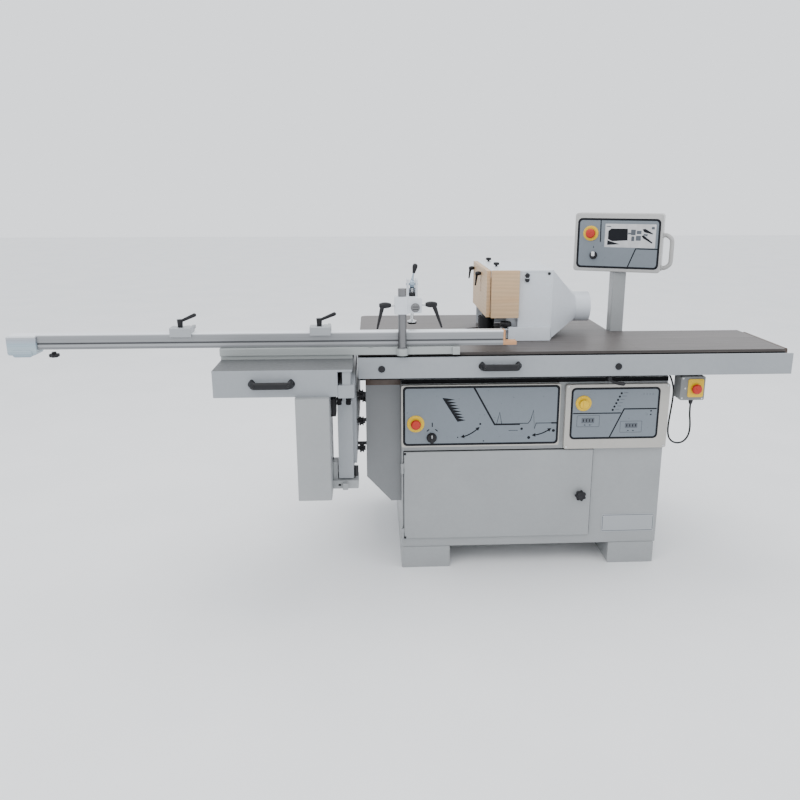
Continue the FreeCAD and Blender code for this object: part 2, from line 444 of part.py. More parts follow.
XR = 842.0
tr = rect_to_round(HOOD_X1, HOOD_Y0 + 18, HOOD_Y1 - 18, HOOD_Z0 + 3, HOOD_Z1 - 3, XR, SPY, PORT_Z, PORT_R)
tr = tr.cut(rect_to_round(HOOD_X1 - 0.01, HOOD_Y0 + 21.5, HOOD_Y1 - 21.5, HOOD_Z0 + 6.5, HOOD_Z1 - 6.5, XR + 0.01, SPY, PORT_Z, PORT_R - 3))
port = fuse(tr, ring(XR, SPY, PORT_Z, PORT_R, PORT_R - 3, PORT_X1 - XR, (1, 0, 0)))
add("dust_port", port)
wf = rbox(461, 241, 994, 571, 261.4, 1179, 1.5, "yz")
add("hood_front_panel", wf)
ws = rbox(444, 262, 994, 459.6, 690, 1177, 1.5, "xz")
for y in (432, 652):
    ws = ws.cut(box(440, y - 6, 1075, 462, y + 6, 1156))
add("hood_side_panel", ws)
add("side_panel_lever_front", lever((443.4, 432, 1150), (-1, 0, 0), 24, 10, (424, 452, 1100), 4.6, 6.4, 5, 26))
add("side_panel_lever_rear", lever((443.4, 652, 1150), (-1, 0, 0), 24, 10, (424, 680, 1104), 4.6, 6.4, 5, 26))
add("hood_top_knobs", group(fuse(lobed(505, 650, HOOD_Z1 + 6, 13, 11, 6, (0, 0, 1)), cyl(505, 650, HOOD_Z1 + 0.4, 6.5, 6), cyl(505, 650, HOOD_Z1 - 12, 5, 20)),
                            fuse(lobed(505, 425, HOOD_Z1 + 6, 13, 11, 6, (0, 0, 1)), cyl(505, 425, HOOD_Z1 + 0.4, 6.5, 6), cyl(505, 425, HOOD_Z1 - 12, 5, 20))))
add("skirt_knob", fuse(lobed(524, 262, 958, 24, 20, 6, (0, 0, 1)), cyl(524, 262, 950, 6, 9)))
add("hood_latch", fuse(rbox(592, 252, 1135, 612, 262, 1168, 3, "y"), cyl(602, 254, 1158, 5, 8, (0, -1, 0)), rbox(597, 246, 1138, 607, 254, 1150, 2, "y")))

# ---------------------------------------------------------------- spindle unit below the table
PIN_Z = TABLE_TOP - TILT_SLOT_R


def slot_cut(y0, y1, a0, a1, half):
    ro, ri = TILT_SLOT_R + half, TILT_SLOT_R - half
    n = 24
    pts = []
    for i in range(n + 1):
        a = math.radians(a0 + (a1 - a0) * i / n)
        pts.append((SPX + ro * math.cos(a), y0, TABLE_TOP + ro * math.sin(a)))
    for i in range(n, -1, -1):
        a = math.radians(a0 + (a1 - a0) * i / n)
        pts.append((SPX + ri * math.cos(a), y0, TABLE_TOP + ri * math.sin(a)))
    s = prism(pts, (0, y1 - y0, 0))
    for a in (a0, a1):
        a = math.radians(a)
        s = s.fuse(cyl(SPX + TILT_SLOT_R * math.cos(a), y0, TABLE_TOP + TILT_SLOT_R * math.sin(a), half, y1 - y0, (0, 1, 0)))
    return s


guides = []
for y0, s in ((352, 1), (586, -1)):
    gp = box(250, y0, 640, 600, y0 + 12, 842)
    gp = gp.cut(prism([(249, y0 - 1, 639), (272, y0 - 1, 639), (249, y0 - 1, 662)], (0, 14, 0)))
    gp = gp.cut(slot_cut(y0 - 1, y0 + 13, -76, -149, 8.8))
    feet_ = [box(252, y0, 838, 300, y0 + 12, 874.0), box(560, y0, 838, 598, y0 + 12, 874.0)]
    guides.append(fuse(gp, *feet_))
add("tilt_guide_plates", group(*guides))
cr = fuse(box(395, 412, 655, 555, 538, 762), box(395, 366, 655, 555, 378, 730), box(395, 572, 655, 555, 584, 730),
          box(395, 376, 655, 555, 414, 671), box(395, 536, 655, 555, 574, 671))
cr = cr.cut(cyl(SPX, SPY, 640, QUILL_R + FIT, 140))
for a in (-90 + 11, -90 - 11):
    ar = math.radians(a)
    px, pz = SPX + TILT_SLOT_R * math.cos(ar), TABLE_TOP + TILT_SLOT_R * math.sin(ar)
    cr = fuse(cr, cyl(px, 346, pz, 8, 24, (0, 1, 0)), cyl(px, 580, pz, 8, 24, (0, 1, 0)))
add("tilt_cradle", cr)
q = cyl(SPX, SPY, 560, QUILL_R, 270)
q = q.cut(cyl(SPX, SPY, 550, 22, 300)).cut(cyl(SPX, SPY, 812, 36, 30)).cut(cyl(SPX, SPY, 550, 36, 28))
br = fuse(q, box(410, 430, 548, 540, 758, 560).cut(cyl(SPX, SPY, 540, 36, 40)).cut(cyl(SPX, 682, 540, 16, 40)))
add("spindle_quill", br)
add("spindle_bearings", group(ring(SPX, SPY, 812, 36, SPINDLE_R + 0.03, 16), ring(SPX, SPY, 562, 36, SPINDLE_R + 0.03, 16)))
mt = fuse(cyl(SPX, 682, 560, 66, 150), cone(SPX, 682, 710, 66, 50, 10))
for k in range(16):
    a = 2 * math.pi * k / 16
    mt = mt.fuse(Part.makeBox(8, 3, 130, V(0, -1.5, 0)).translated(V(63, 0, 570)).rotated(V(0, 0, 0), V(0, 0, 1), math.degrees(a)).translated(V(SPX, 682, 0)))
mt = mt.cut(cyl(SPX, 682, 555, 14, 60)).removeSplitter()
add("spindle_motor", mt)
sp = fuse(cyl(SPX, SPY, 500, SPINDLE_R, 482), ring(SPX, SPY, 510, 44, SPINDLE_R, 32), cyl(SPX, SPY, 866, 24, 34), cyl(SPX, SPY, 900, 30, 4))
add("spindle_shaft", sp)
cols = []
z = 904.0
for h in (18, 10, 14, 8, 12):
    cols.append(ring(SPX, SPY, z, COLLAR_R - (1.5 if h == 10 else 0), SPINDLE_R, h - 0.0))
    z += h
cols = fuse(*cols)
add("spindle_collars", cols)
nut = Part.makeCone(21, 17, 16, V(SPX, SPY, z), V(0, 0, 1)).cut(cyl(SPX, SPY, z - 1, SPINDLE_R, 30))
add("spindle_nut", nut)
add("motor_pulley", fuse(ring(SPX, 682, 510, 54, 12, 32), cyl(SPX, 682, 505, 12, 105)))
R1, R2 = 44.5, 54.5
belt_o = fuse(cyl(SPX, SPY, 514, R1 + 4.5, 24), cyl(SPX, 682, 514, R2 + 4.5, 24),
              prism([(SPX - R1 - 4.5, SPY, 514), (SPX + R1 + 4.5, SPY, 514), (SPX + R2 + 4.5, 682, 514), (SPX - R2 - 4.5, 682, 514)], (0, 0, 24)))
belt_i = fuse(cyl(SPX, SPY, 513, R1, 26), cyl(SPX, 682, 513, R2, 26),
              prism([(SPX - R1, SPY, 513), (SPX + R1, SPY, 513), (SPX + R2, 682, 513), (SPX - R2, 682, 513)], (0, 0, 26)))
add("drive_belt", belt_o.cut(belt_i))

# ---------------------------------------------------------------- operator pod
add("pod_column", rbox(1005, 458, CAB_Z1, 1061, 514, 1148, 5, "z").cut(box(1010, 463, CAB_Z1 + 5, 1056, 509, 1149)))
POD = V(1033, 486, 1131)   # swivel point on top of the column
YAW = -24.0


def pod_place(s):
    s = s.copy()
    s.rotate(V(0, 0, 0), V(0, 0, 1), YAW)
    s.translate(POD)
    return s


pb = rbox(-182, -46, 20, 172, 56, 258, 9, "z").cut(cyl(-115, -50, 176, 13, 20, (0, 1, 0)))
pb = fuse(pb, cyl(0, 0, 17.5, 33, 4), cyl(0, 0, -40, 21, 62))
add("pod_housing", pod_place(pb))
hp = []
pts = [V(171, 0, 172), V(209, 0, 152), V(209, 0, 58), V(171, 0, 38)]
w = Part.makePolygon(pts)
segs = [fuse(Part.makeCylinder(9, (b - a).Length, a, b - a), Part.makeSphere(9, b)) if i < 2 else Part.makeCylinder(9, (b - a).Length, a, b - a)
        for i, (a, b) in enumerate(zip(pts, pts[1:]))]
hdl = fuse(*segs)
hdl = fuse(hdl.cut(box(150, -20, 0, 172, 20, 260)), Part.makeCylinder(13, 4, V(172, 0, 171), V(1, 0, 0)), Part.makeCylinder(13, 4, V(172, 0, 39), V(1, 0, 0)))
add("pod_handle", pod_place(hdl))
add("pod_estop_collar", pod_place(lathe(-115, -46, 176, [(13, 0), (31, 0), (31, 3), (28, 6), (13, 6)], (0, -1, 0))))
add("pod_estop_button", pod_place(mushroom(-115, -46.1, 176, 19.5, (0, -1, 0), 15, 10)))
add("pod_selector_knob", pod_place(fuse(cyl(-100, -46.1, 86, 16, 11, (0, -1, 0)), rbox(-105, -67, 70, -95, -55, 102, 3, "y"))))

# ---------------------------------------------------------------- pieces that share a node
SHARE = {
    "base_cabinet": ["door_hinge_posts"],
    "main_table": ["table_insert_rings"],
    "table_wing": ["wing_end_rail"],
    "control_panel_frames": ["left_control_panel", "right_control_panel"],
    "estop_collars": ["estop_box_plate"],
    "estop_box": ["cable_glands"],
    "front_bar": ["front_bar_guide_rods"],
    "front_bar_handle": ["front_bar_caps", "front_bar_end_cap"],
    "rail_mount_plate": ["rail_mount_feet"],
    "rail_lobe_nuts": ["table_wiper_strip"],
    "carriage_bearing_block": ["upper_roller_pins"],
    "hanging_arm": ["lower_roller_bracket"],
    "fence_carrier": ["carrier_end_shoe"],
    "fence_extension_bar": ["fence_extension_handle"],
    "stop_block_left": ["stop_lever_left"],
    "stop_block_right": ["stop_lever_right"],
    "clamp_arm": ["clamp_arm_tube", "clamp_yoke"],
    "clamp_eccentric": ["clamp_ball_knob"],
    "hood_shell": ["hood_skirt", "hood_latch"],
    "hood_hand_knobs": ["hood_top_knobs", "skirt_knob", "side_panel_lever_front", "side_panel_lever_rear"],
    "spindle_quill": ["spindle_bearings"],
    "spindle_shaft": ["spindle_collars", "spindle_nut"],
    "pod_housing": ["pod_estop_collar", "pod_handle"],
}
for name, extra in SHARE.items():
    sol = list(NODES[name].Solids) if name in NODES else []
    for e in extra:
        sol += NODES.pop(e).Solids
    NODES[name] = Part.makeCompound(sol)

# ---------------------------------------------------------------- write
tot = None
for name, s in NODES.items():
    s = s.copy()
    s.translate(V(-OX, -OY, 0))
    bad = [x for x in s.Solids if not x.isValid()]
    if bad or not s.Solids:
        print("CHECK", name, "solids", len(s.Solids), "bad", len(bad))
    s.exportStep("parts/%s.step" % name)
    b = s.BoundBox
    tot = FreeCAD.BoundBox(b) if tot is None else tot.united(b)
print(len(NODES), "nodes; box x %.1f %.1f y %.1f %.1f z %.1f %.1f" % (tot.XMin, tot.XMax, tot.YMin, tot.YMax, tot.ZMin, tot.ZMax))
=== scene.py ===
import bpy
import bmesh
import math
from mathutils import Vector, Matrix, Quaternion


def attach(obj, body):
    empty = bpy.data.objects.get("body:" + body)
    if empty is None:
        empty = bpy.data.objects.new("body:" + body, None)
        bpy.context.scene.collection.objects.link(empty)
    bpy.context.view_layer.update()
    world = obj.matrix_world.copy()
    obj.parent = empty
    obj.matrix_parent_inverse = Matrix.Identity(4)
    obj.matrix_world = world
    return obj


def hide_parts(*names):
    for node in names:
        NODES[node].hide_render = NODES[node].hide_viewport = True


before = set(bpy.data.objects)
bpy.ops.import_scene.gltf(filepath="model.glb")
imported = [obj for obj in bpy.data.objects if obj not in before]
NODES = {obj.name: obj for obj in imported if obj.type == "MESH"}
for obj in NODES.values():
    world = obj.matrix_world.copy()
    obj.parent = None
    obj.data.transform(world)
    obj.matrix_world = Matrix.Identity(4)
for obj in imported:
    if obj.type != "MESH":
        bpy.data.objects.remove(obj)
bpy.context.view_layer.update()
OX, OY = 136.0, 355.5


def W(x, y, z):
    """Layout millimetres to the row frame in metres."""
    return Vector(((x - OX) / 1000.0, (y - OY) / 1000.0, z / 1000.0))


# ---------------------------------------------------------------- camera and light
cam_data = bpy.data.cameras.new("camera")
cam = bpy.data.objects.new("camera", cam_data)
bpy.context.scene.collection.objects.link(cam)
cam_data.sensor_width = 36.0
cam_data.lens = 790.0 / 800.0 * 36.0
cam_data.shift_x = -0.01875
cam.location = W(0, -2830, 1494)
yaw, pitch = math.radians(3.0), math.radians(15.1)
F = Vector((math.sin(yaw) * math.cos(pitch), math.cos(yaw) * math.cos(pitch), -math.sin(pitch)))
cam.rotation_euler = F.to_track_quat("-Z", "Y").to_euler()
bpy.context.scene.camera = cam

world = bpy.data.worlds.new("world")
bpy.context.scene.world = world
world.use_nodes = True
bg = world.node_tree.nodes["Background"]
bg.inputs[0].default_value = (0.93, 0.96, 1.0, 1)
bg.inputs[1].default_value = 1.6


def area(name, loc, target, size, power, color=(1, 1, 1)):
    d = bpy.data.lights.new(name, "AREA")
    d.shape = "RECTANGLE"
    d.size, d.size_y = size
    d.energy = power
    d.color = color
    o = bpy.data.objects.new(name, d)
    bpy.context.scene.collection.objects.link(o)
    o.location = loc
    o.rotation_euler = (Vector(target) - Vector(loc)).to_track_quat("-Z", "Y").to_euler()
    return o


area("key", (-1.6, -3.0, 3.6), (0, 0, 0.8), (3.0, 2.0), 46, (1.0, 0.985, 0.96))
area("fill", (3.2, -2.4, 2.2), (0.2, 0, 0.8), (2.2, 2.2), 10, (0.93, 0.96, 1.0))
area("top", (0.2, 0.6, 4.0), (0.1, 0, 0.9), (3.4, 2.4), 62)

# ---------------------------------------------------------------- materials
MATS = {}


class NT:
    def __init__(self, name):
        self.m = bpy.data.materials.new(name)
        self.m.use_nodes = True
        self.t = self.m.node_tree
        self.n = self.t.nodes
        self.b = self.n["Principled BSDF"]

    def node(self, kind, **k):
        nd = self.n.new(kind)
        for a, v in k.items():
            setattr(nd, a, v)
        return nd

    def link(self, a, b):
        self.t.links.new(a, b)

    def coords(self, scale=(1, 1, 1)):
        tc = self.node("ShaderNodeTexCoord")
        mp = self.node("ShaderNodeMapping")
        mp.inputs["Scale"].default_value = scale
        self.link(tc.outputs["Object"], mp.inputs["Vector"])
        return mp.outputs["Vector"]

    def noise(self, vec, scale, detail=3, rough=0.5):
        nz = self.node("ShaderNodeTexNoise")
        nz.inputs["Scale"].default_value = scale
        nz.inputs["Detail"].default_value = detail
        nz.inputs["Roughness"].default_value = rough
        self.link(vec, nz.inputs["Vector"])
        return nz.outputs["Fac"]

    def ramp(self, fac, stops):
        r = self.node("ShaderNodeValToRGB")
        e = r.color_ramp.elements
        while len(e) < len(stops):
            e.new(0.5)
        for el, (p, c) in zip(e, stops):
            el.position = p
            el.color = (*c, 1) if len(c) == 3 else c
        self.link(fac, r.inputs["Fac"])
        return r.outputs["Color"]

    def rrange(self, fac, lo, hi, a=0.3, b=0.7):
        r = self.node("ShaderNodeMapRange")
        r.inputs["From Min"].default_value = a
        r.inputs["From Max"].default_value = b
        r.inputs["To Min"].default_value = lo
        r.inputs["To Max"].default_value = hi
        self.link(fac, r.inputs["Value"])
        return r.outputs["Result"]

    def mix(self, fac, a, b, mode="MIX"):
        m = self.node("ShaderNodeMix", data_type="RGBA", blend_type=mode)
        if isinstance(fac, (int, float)):
            m.inputs[0].default_value = fac
        else:
            self.link(fac, m.inputs[0])
        for s, v in ((m.inputs[6], a), (m.inputs[7], b)):
            if isinstance(v, tuple):
                s.default_value = (*v[:3], 1)
            else:
                self.link(v, s)
        return m.outputs[2]

    def bump(self, height, strength, dist, normal=None):
        b = self.node("ShaderNodeBump")
        b.inputs["Strength"].default_value = strength
        b.inputs["Distance"].default_value = dist
        self.link(height, b.inputs["Height"])
        if normal is not None:
            self.link(normal, b.inputs["Normal"])
        return b.outputs["Normal"]

    def bevel(self, radius):
        b = self.node("ShaderNodeBevel")
        b.samples = 4
        b.inputs["Radius"].default_value = radius
        return b.outputs["Normal"]

    def edge(self, bevel_normal, lo=0.02, hi=0.18):
        g = self.node("ShaderNodeNewGeometry")
        d = self.node("ShaderNodeVectorMath", operation="DOT_PRODUCT")
        self.link(bevel_normal, d.inputs[0])
        self.link(g.outputs["Normal"], d.inputs[1])
        s = self.node("ShaderNodeMath", operation="SUBTRACT")
        s.inputs[0].default_value = 1.0
        self.link(d.outputs["Value"], s.inputs[1])
        return self.rrange(s.outputs[0], 0.0, 1.0, lo, hi)


def c3(c, k):
    return tuple(min(1.0, v * k) for v in c)


def paint(name, color, rough=0.38, worn=(0.20, 0.20, 0.195), wear=0.35, blot=0.05, bev=0.0012, dust=0.5):
    t = NT(name)
    v = t.coords()
    big = t.noise(v, 3.5, 4, 0.6)
    fine = t.noise(v, 60, 3, 0.6)
    base = t.ramp(big, [(0.3, c3(color, 1 - blot)), (0.7, c3(color, 1 + blot))])
    base = t.mix(0.10, base, t.ramp(fine, [(0.35, c3(color, 0.80)), (0.65, c3(color, 1.12))]))
    bn = t.bevel(bev)
    em = t.edge(bn)
    spots = t.noise(v, 38, 5, 0.7)
    m = t.node("ShaderNodeMath", operation="MULTIPLY")
    t.link(em, m.inputs[0])
    t.link(t.rrange(spots, 0.0, wear, 0.42, 0.62), m.inputs[1])
    base = t.mix(m.outputs[0], base, worn)
    t.link(base, t.b.inputs["Base Color"])
    t.link(t.rrange(fine, rough - 0.05, rough + 0.08), t.b.inputs["Roughness"])
    peel = t.noise(v, 420, 2, 0.5)
    t.link(t.bump(peel, 0.10, 0.0004, bn), t.b.inputs["Normal"])
    t.b.inputs["Coat Weight"].default_value = 0.12
    t.b.inputs["Coat Roughness"].default_value = 0.25
    MATS[name] = t.m
    return t.m


def plastic(name, color, rough=0.45, grain=900, gs=0.25, var=0.12, ior=1.5, bev=0.0006, coat=0.0, spec=0.5):
    t = NT(name)
    v = t.coords()
    a = t.noise(v, 25, 3, 0.6)
    t.link(t.ramp(a, [(0.3, c3(color, 1 - var)), (0.7, c3(color, 1 + var))]), t.b.inputs["Base Color"])
    t.link(t.rrange(t.noise(v, 70, 3), rough - 0.06, rough + 0.10), t.b.inputs["Roughness"])
    t.link(t.bump(t.noise(v, grain, 2, 0.6), gs, 0.00015, t.bevel(bev)), t.b.inputs["Normal"])
    t.b.inputs["IOR"].default_value = ior
    t.b.inputs["Specular IOR Level"].default_value = spec
    t.b.inputs["Coat Weight"].default_value = coat
    MATS[name] = t.m
    return t.m


def metal(name, color, rough=0.3, stretch=(3, 260, 260), streak=0.12, bump=0.12, metallic=1.0, blot=0.06, edge_c=None, bev=0.0006, brough=0.10):
    t = NT(name)
    v = t.coords()
    vs = t.coords(stretch)
    lines = t.noise(vs, 4.0, 6, 0.65)
    big = t.noise(v, 6.0, 5, 0.6)
    col = t.ramp(lines, [(0.25, c3(color, 1 - streak)), (0.75, c3(color, 1 + streak))])
    col = t.mix(0.5, col, t.ramp(big, [(0.3, c3(color, 1 - blot)), (0.7, c3(color, 1 + blot))]))
    bn = t.bevel(bev)
    if edge_c:
        col = t.mix(t.edge(bn), col, edge_c)
    t.link(col, t.b.inputs["Base Color"])
    t.b.inputs["Metallic"].default_value = metallic
    t.link(t.rrange(lines, rough - brough * 0.5, rough + brough), t.b.inputs["Roughness"])
    t.link(t.bump(lines, bump, 0.0003, bn), t.b.inputs["Normal"])
    MATS[name] = t.m
    return t.m


def wood(name, color, axis="x", ply=False):
    t = NT(name)
    sc = {"x": (1.2, 14, 14), "y": (14, 1.2, 14), "z": (14, 14, 1.2)}[axis]
    v = t.coords(sc)
    fine = t.coords(tuple(s * 6 for s in sc))
    n1 = t.noise(v, 2.2, 6, 0.6)
    wv = t.node("ShaderNodeTexWave", wave_type="BANDS", bands_direction="Z" if axis != "z" else "X")
    wv.inputs["Scale"].default_value = 1.6
    wv.inputs["Distortion"].default_value = 7.0
    wv.inputs["Detail"].default_value = 3.0
    wv.inputs["Detail Scale"].default_value = 0.9
    t.link(v, wv.inputs["Vector"])
    n2 = t.noise(fine, 6, 4, 0.7)
    col = t.ramp(wv.outputs["Fac"], [(0.0, c3(color, 0.90)), (0.55, color), (1.0, c3(color, 1.08))])
    col = t.mix(t.rrange(n1, 0.0, 0.65), col, (color[0] * 0.98, color[1] * 0.84, color[2] * 0.68))
    col = t.mix(t.rrange(n2, 0.0, 0.35, 0.5, 0.75), col, c3(color, 0.72))
    bn = t.bevel(0.0008)
    col = t.mix(t.edge(bn, 0.05, 0.3), col, c3(color, 0.70))
    t.link(col, t.b.inputs["Base Color"])
    t.link(t.rrange(n2, 0.42, 0.60), t.b.inputs["Roughness"])
    t.link(t.bump(n2, 0.25, 0.0003, bn), t.b.inputs["Normal"])
    t.b.inputs["Coat Weight"].default_value = 0.15
    t.b.inputs["Coat Roughness"].default_value = 0.35
    MATS[name] = t.m
    return t.m


ENAMEL = (0.285, 0.295, 0.300)
paint("enamel", ENAMEL)
# darker copy of the enamel for the side cover: painted shade for a face turned away from the light
paint("enamel_painted_shade", (0.175, 0.182, 0.188))
paint("enamel_cool", (0.275, 0.292, 0.310), rough=0.34)
paint("carriage_top", (0.085, 0.089, 0.092), rough=0.5, blot=0.10)
paint("enamel_white", (0.60, 0.63, 0.67), rough=0.34, wear=0.25)
paint("pod_grey", (0.40, 0.395, 0.385), rough=0.33)
paint("panel_frame", (0.40, 0.385, 0.355), rough=0.35)
paint("overlay", (0.150, 0.175, 0.200), rough=0.32, wear=0.0, blot=0.03, bev=0.0004)
plastic("print_black", (0.006, 0.007, 0.010), rough=0.45, grain=400, gs=0.05, spec=0.15)
plastic("print_grey", (0.085, 0.095, 0.11), rough=0.4, grain=400, gs=0.05, spec=0.3)
plastic("print_white", (0.50, 0.50, 0.51), rough=0.35, grain=400, gs=0.05)
plastic("signal_yellow", (0.66, 0.42, 0.012), rough=0.38, grain=700, gs=0.12, var=0.06, spec=0.4)
plastic("signal_red", (0.42, 0.018, 0.008), rough=0.30, grain=700, gs=0.08, var=0.06, spec=0.4)
plastic("box_grey", (0.17, 0.175, 0.175), rough=0.48)
plastic("black_plastic", (0.009, 0.009, 0.011), rough=0.42, gs=0.35, var=0.25, spec=0.3)
plastic("cable_black", (0.007, 0.007, 0.008), rough=0.5, grain=600, gs=0.3, spec=0.2)
plastic("belt_rubber", (0.012, 0.012, 0.012), rough=0.65, grain=500, gs=0.5, spec=0.2)
# near-black rubber, also used for black strips that are painted shade and shadow in gaps and under the table
plastic("rubber_and_painted_shade", (0.006, 0.006, 0.007), rough=0.7, grain=500, gs=0.4, spec=0.1)
# brown-black end caps; also used for the painted shadow band on the side cover
plastic("end_brown_and_painted_shadow", (0.075, 0.05, 0.038), rough=0.45)
plastic("chalk_white", (0.62, 0.63, 0.64), rough=0.35)
metal("dark_iron", (0.035, 0.035, 0.038), rough=0.55, stretch=(8, 8, 8), streak=0.2, bump=0.5, metallic=0.5)
metal("steel", (0.33, 0.335, 0.34), rough=0.34, stretch=(160, 160, 3), streak=0.14)
metal("column_steel", (0.20, 0.20, 0.205), rough=0.36, stretch=(260, 260, 2), streak=0.35)
metal("blue_steel", (0.30, 0.37, 0.44), rough=0.25, stretch=(60, 60, 60), streak=0.08)
metal("steel_bright", (0.62, 0.63, 0.64), rough=0.22, stretch=(60, 60, 60), streak=0.05)
metal("steel_dark", (0.012, 0.012, 0.014), rough=0.42, stretch=(60, 60, 200), streak=0.3, metallic=0.3, edge_c=(0.05, 0.05, 0.05))
metal("aluminium", (0.36, 0.375, 0.39), rough=0.36, stretch=(1.5, 300, 300), streak=0.07, metallic=0.6, blot=0.03)
metal("alu_carrier", (0.33, 0.35, 0.345), rough=0.45, stretch=(1.5, 200, 200), streak=0.05, metallic=0.3, blot=0.04)
wood("plywood", (0.53, 0.375, 0.225), "x")
wood("wood_tip", (0.50, 0.27, 0.13), "x")


def banded(name, stops, rough=0.34, metallic=0.55):
    """Brushed extrusion whose tone changes with height (mm above the floor); the bright bands near the top are painted
    highlights.
    """
    t = NT(name)
    v = t.coords()
    lines = t.noise(t.coords((1.5, 300, 300)), 4.0, 6, 0.65)
    g = t.node("ShaderNodeTexCoord")
    sp_ = t.node("ShaderNodeSeparateXYZ")
    t.link(g.outputs["Object"], sp_.inputs[0])
    lo, hi = stops[0][0], stops[-1][0]
    f = t.rrange(sp_.outputs["Z"], 0.0, 1.0, lo / 1000.0, hi / 1000.0)
    rp = t.ramp(f, [((z - lo) / (hi - lo), c) for z, c in stops])
    col = t.mix(0.16, rp, t.ramp(lines, [(0.25, (0.12, 0.12, 0.13)), (0.75, (0.62, 0.63, 0.66))]))
    t.link(col, t.b.inputs["Base Color"])
    t.b.inputs["Metallic"].default_value = metallic
    t.link(t.rrange(lines, rough - 0.04, rough + 0.08), t.b.inputs["Roughness"])
    t.link(t.bump(lines, 0.08, 0.0003, t.bevel(0.0008)), t.b.inputs["Normal"])
    MATS[name] = t.m


def g3(v, b=1.06):
    return (v, v * (1 + (b - 1) * 0.5), v * b)


# fence: the bright bands from 980.5 mm up are a painted highlight along the top edge, and the near-black band at
# 948.5-954 mm is painted shade in the groove line
banded("fence_alu", [(930, g3(0.17)), (938, g3(0.17)), (940, g3(0.32)), (947, g3(0.32)), (948.5, g3(0.04)), (954, g3(0.04)), (955.5, g3(0.24)), (962, g3(0.25)),
                     (964, g3(0.235)), (978, g3(0.265)), (980.5, g3(0.62)), (983.5, g3(0.95)), (986, g3(0.80))])
# end handle: the light bands from 978 mm up are a painted highlight along the top
banded("end_handle", [(905, (0.22, 0.30, 0.36)), (930, (0.36, 0.45, 0.50)), (950, (0.30, 0.40, 0.47)), (964, (0.33, 0.37, 0.42)), (974, (0.36, 0.38, 0.41)), (978, (0.75, 0.77, 0.8)), (983, (0.85, 0.87, 0.9))], rough=0.25, metallic=0.1)


def table_material():
    """Ground iron on top; the casting below is painted near-black as shade under the table top, split by height on the
    fixed tables.
    """
    t = NT("table_casting")
    v = t.coords()
    vs = t.coords((1.5, 170, 170))
    lines = t.noise(vs, 4.0, 6, 0.65)
    big = t.noise(v, 3.0, 6, 0.65)
    iron = (0.105, 0.093, 0.088)
    col = t.ramp(lines, [(0.25, c3(iron, 0.66)), (0.75, c3(iron, 1.34))])
    col = t.mix(0.5, col, t.ramp(big, [(0.28, c3(iron, 0.80)), (0.5, iron), (0.72, c3(iron, 1.2))]))
    wide = t.noise(t.coords((0.35, 34, 34)), 3.0, 4, 0.7)
    col = t.mix(0.55, col, t.ramp(wide, [(0.30, c3(iron, 0.45)), (0.48, c3(iron, 0.95)), (0.56, c3(iron, 1.05)), (0.74, c3(iron, 1.9))]))
    bn = t.bevel(0.001)
    col = t.mix(t.edge(bn), col, (0.20, 0.185, 0.17))
    g = t.node("ShaderNodeTexCoord")
    s = t.node("ShaderNodeSeparateXYZ")
    t.link(g.outputs["Object"], s.inputs[0])
    # below 873.5 mm the casting gets near-black: painted shade under the table top
    low = t.node("ShaderNodeMath", operation="LESS_THAN")
    low.inputs[1].default_value = 0.8735
    t.link(s.outputs["Z"], low.inputs[0])
    col = t.mix(low.outputs[0], col, (0.02, 0.02, 0.021))
    t.link(col, t.b.inputs["Base Color"])
    t.b.inputs["Metallic"].default_value = 0.35
    t.link(t.rrange(lines, 0.34, 0.58), t.b.inputs["Roughness"])
    t.link(t.bump(lines, 0.20, 0.0003, bn), t.b.inputs["Normal"])
    MATS["table_casting"] = t.m


table_material()

ASSIGN = {
    "enamel": ["plinth_feet", "base_cabinet", "door", "hanging_arm", "pod_column"],
    "enamel_painted_shade": ["motor_side_cover"],
    "enamel_cool": ["front_bar", "carriage_body", "carriage_rail", "rail_mount_plate", "carriage_bearing_block"],
    "enamel_white": ["hood_shell", "dust_port", "clamp_head", "clamp_arm"],
    "panel_frame": ["control_panel_frames"],
    "pod_grey": ["pod_housing"],
    "table_casting": ["main_table", "table_wing"],
    "signal_yellow": ["estop_collars"],
    "box_grey": ["estop_box"],
    "cable_black": ["estop_cable"],
    "black_plastic": ["rail_lobe_nuts", "hood_hand_knobs", "front_bar_handle", "front_bar_lock_lever", "door_latch_knob",
                      "left_selector_knob", "carriage_handle", "extension_lock_knob", "clamp_lever_column", "clamp_lever_arm",
                      "pod_selector_knob"],
    "signal_red": ["left_estop_button", "box_estop_button", "pod_estop_button"],
    "plywood": ["hood_front_panel", "hood_side_panel"],
    "wood_tip": ["fence_wood_tip"],
    "dark_iron": ["tilt_guide_plates", "tilt_cradle", "spindle_quill", "spindle_motor", "motor_pulley"],
    "column_steel": ["clamp_column"],
    "steel": ["stop_finger_left", "stop_finger_right", "clamp_eccentric", "clamp_plunger"],
    "steel_dark": ["upper_guide_roller_left", "upper_guide_roller_right", "lower_roller_right", "spindle_shaft"],
    "fence_alu": ["fence_profile", "fence_extension_bar"],
    "aluminium": ["stop_block_left", "stop_block_right"],
    "alu_carrier": ["fence_carrier"],
    "belt_rubber": ["drive_belt"],
}
ASSIGN["signal_yellow"].append("main_isolator_knob")
for mat, names in ASSIGN.items():
    for n in names:
        o = NODES[n]
        o.data.materials.clear()
        o.data.materials.append(MATS[mat])
        for p in o.data.polygons:
            p.material_index = 0
missing = [n for n in NODES if not any(n in v for v in ASSIGN.values())]
if missing:
    raise SystemExit("no material for %s" % missing)

# ---------------------------------------------------------------- mesh helpers (layout millimetres)
PIECES = {}


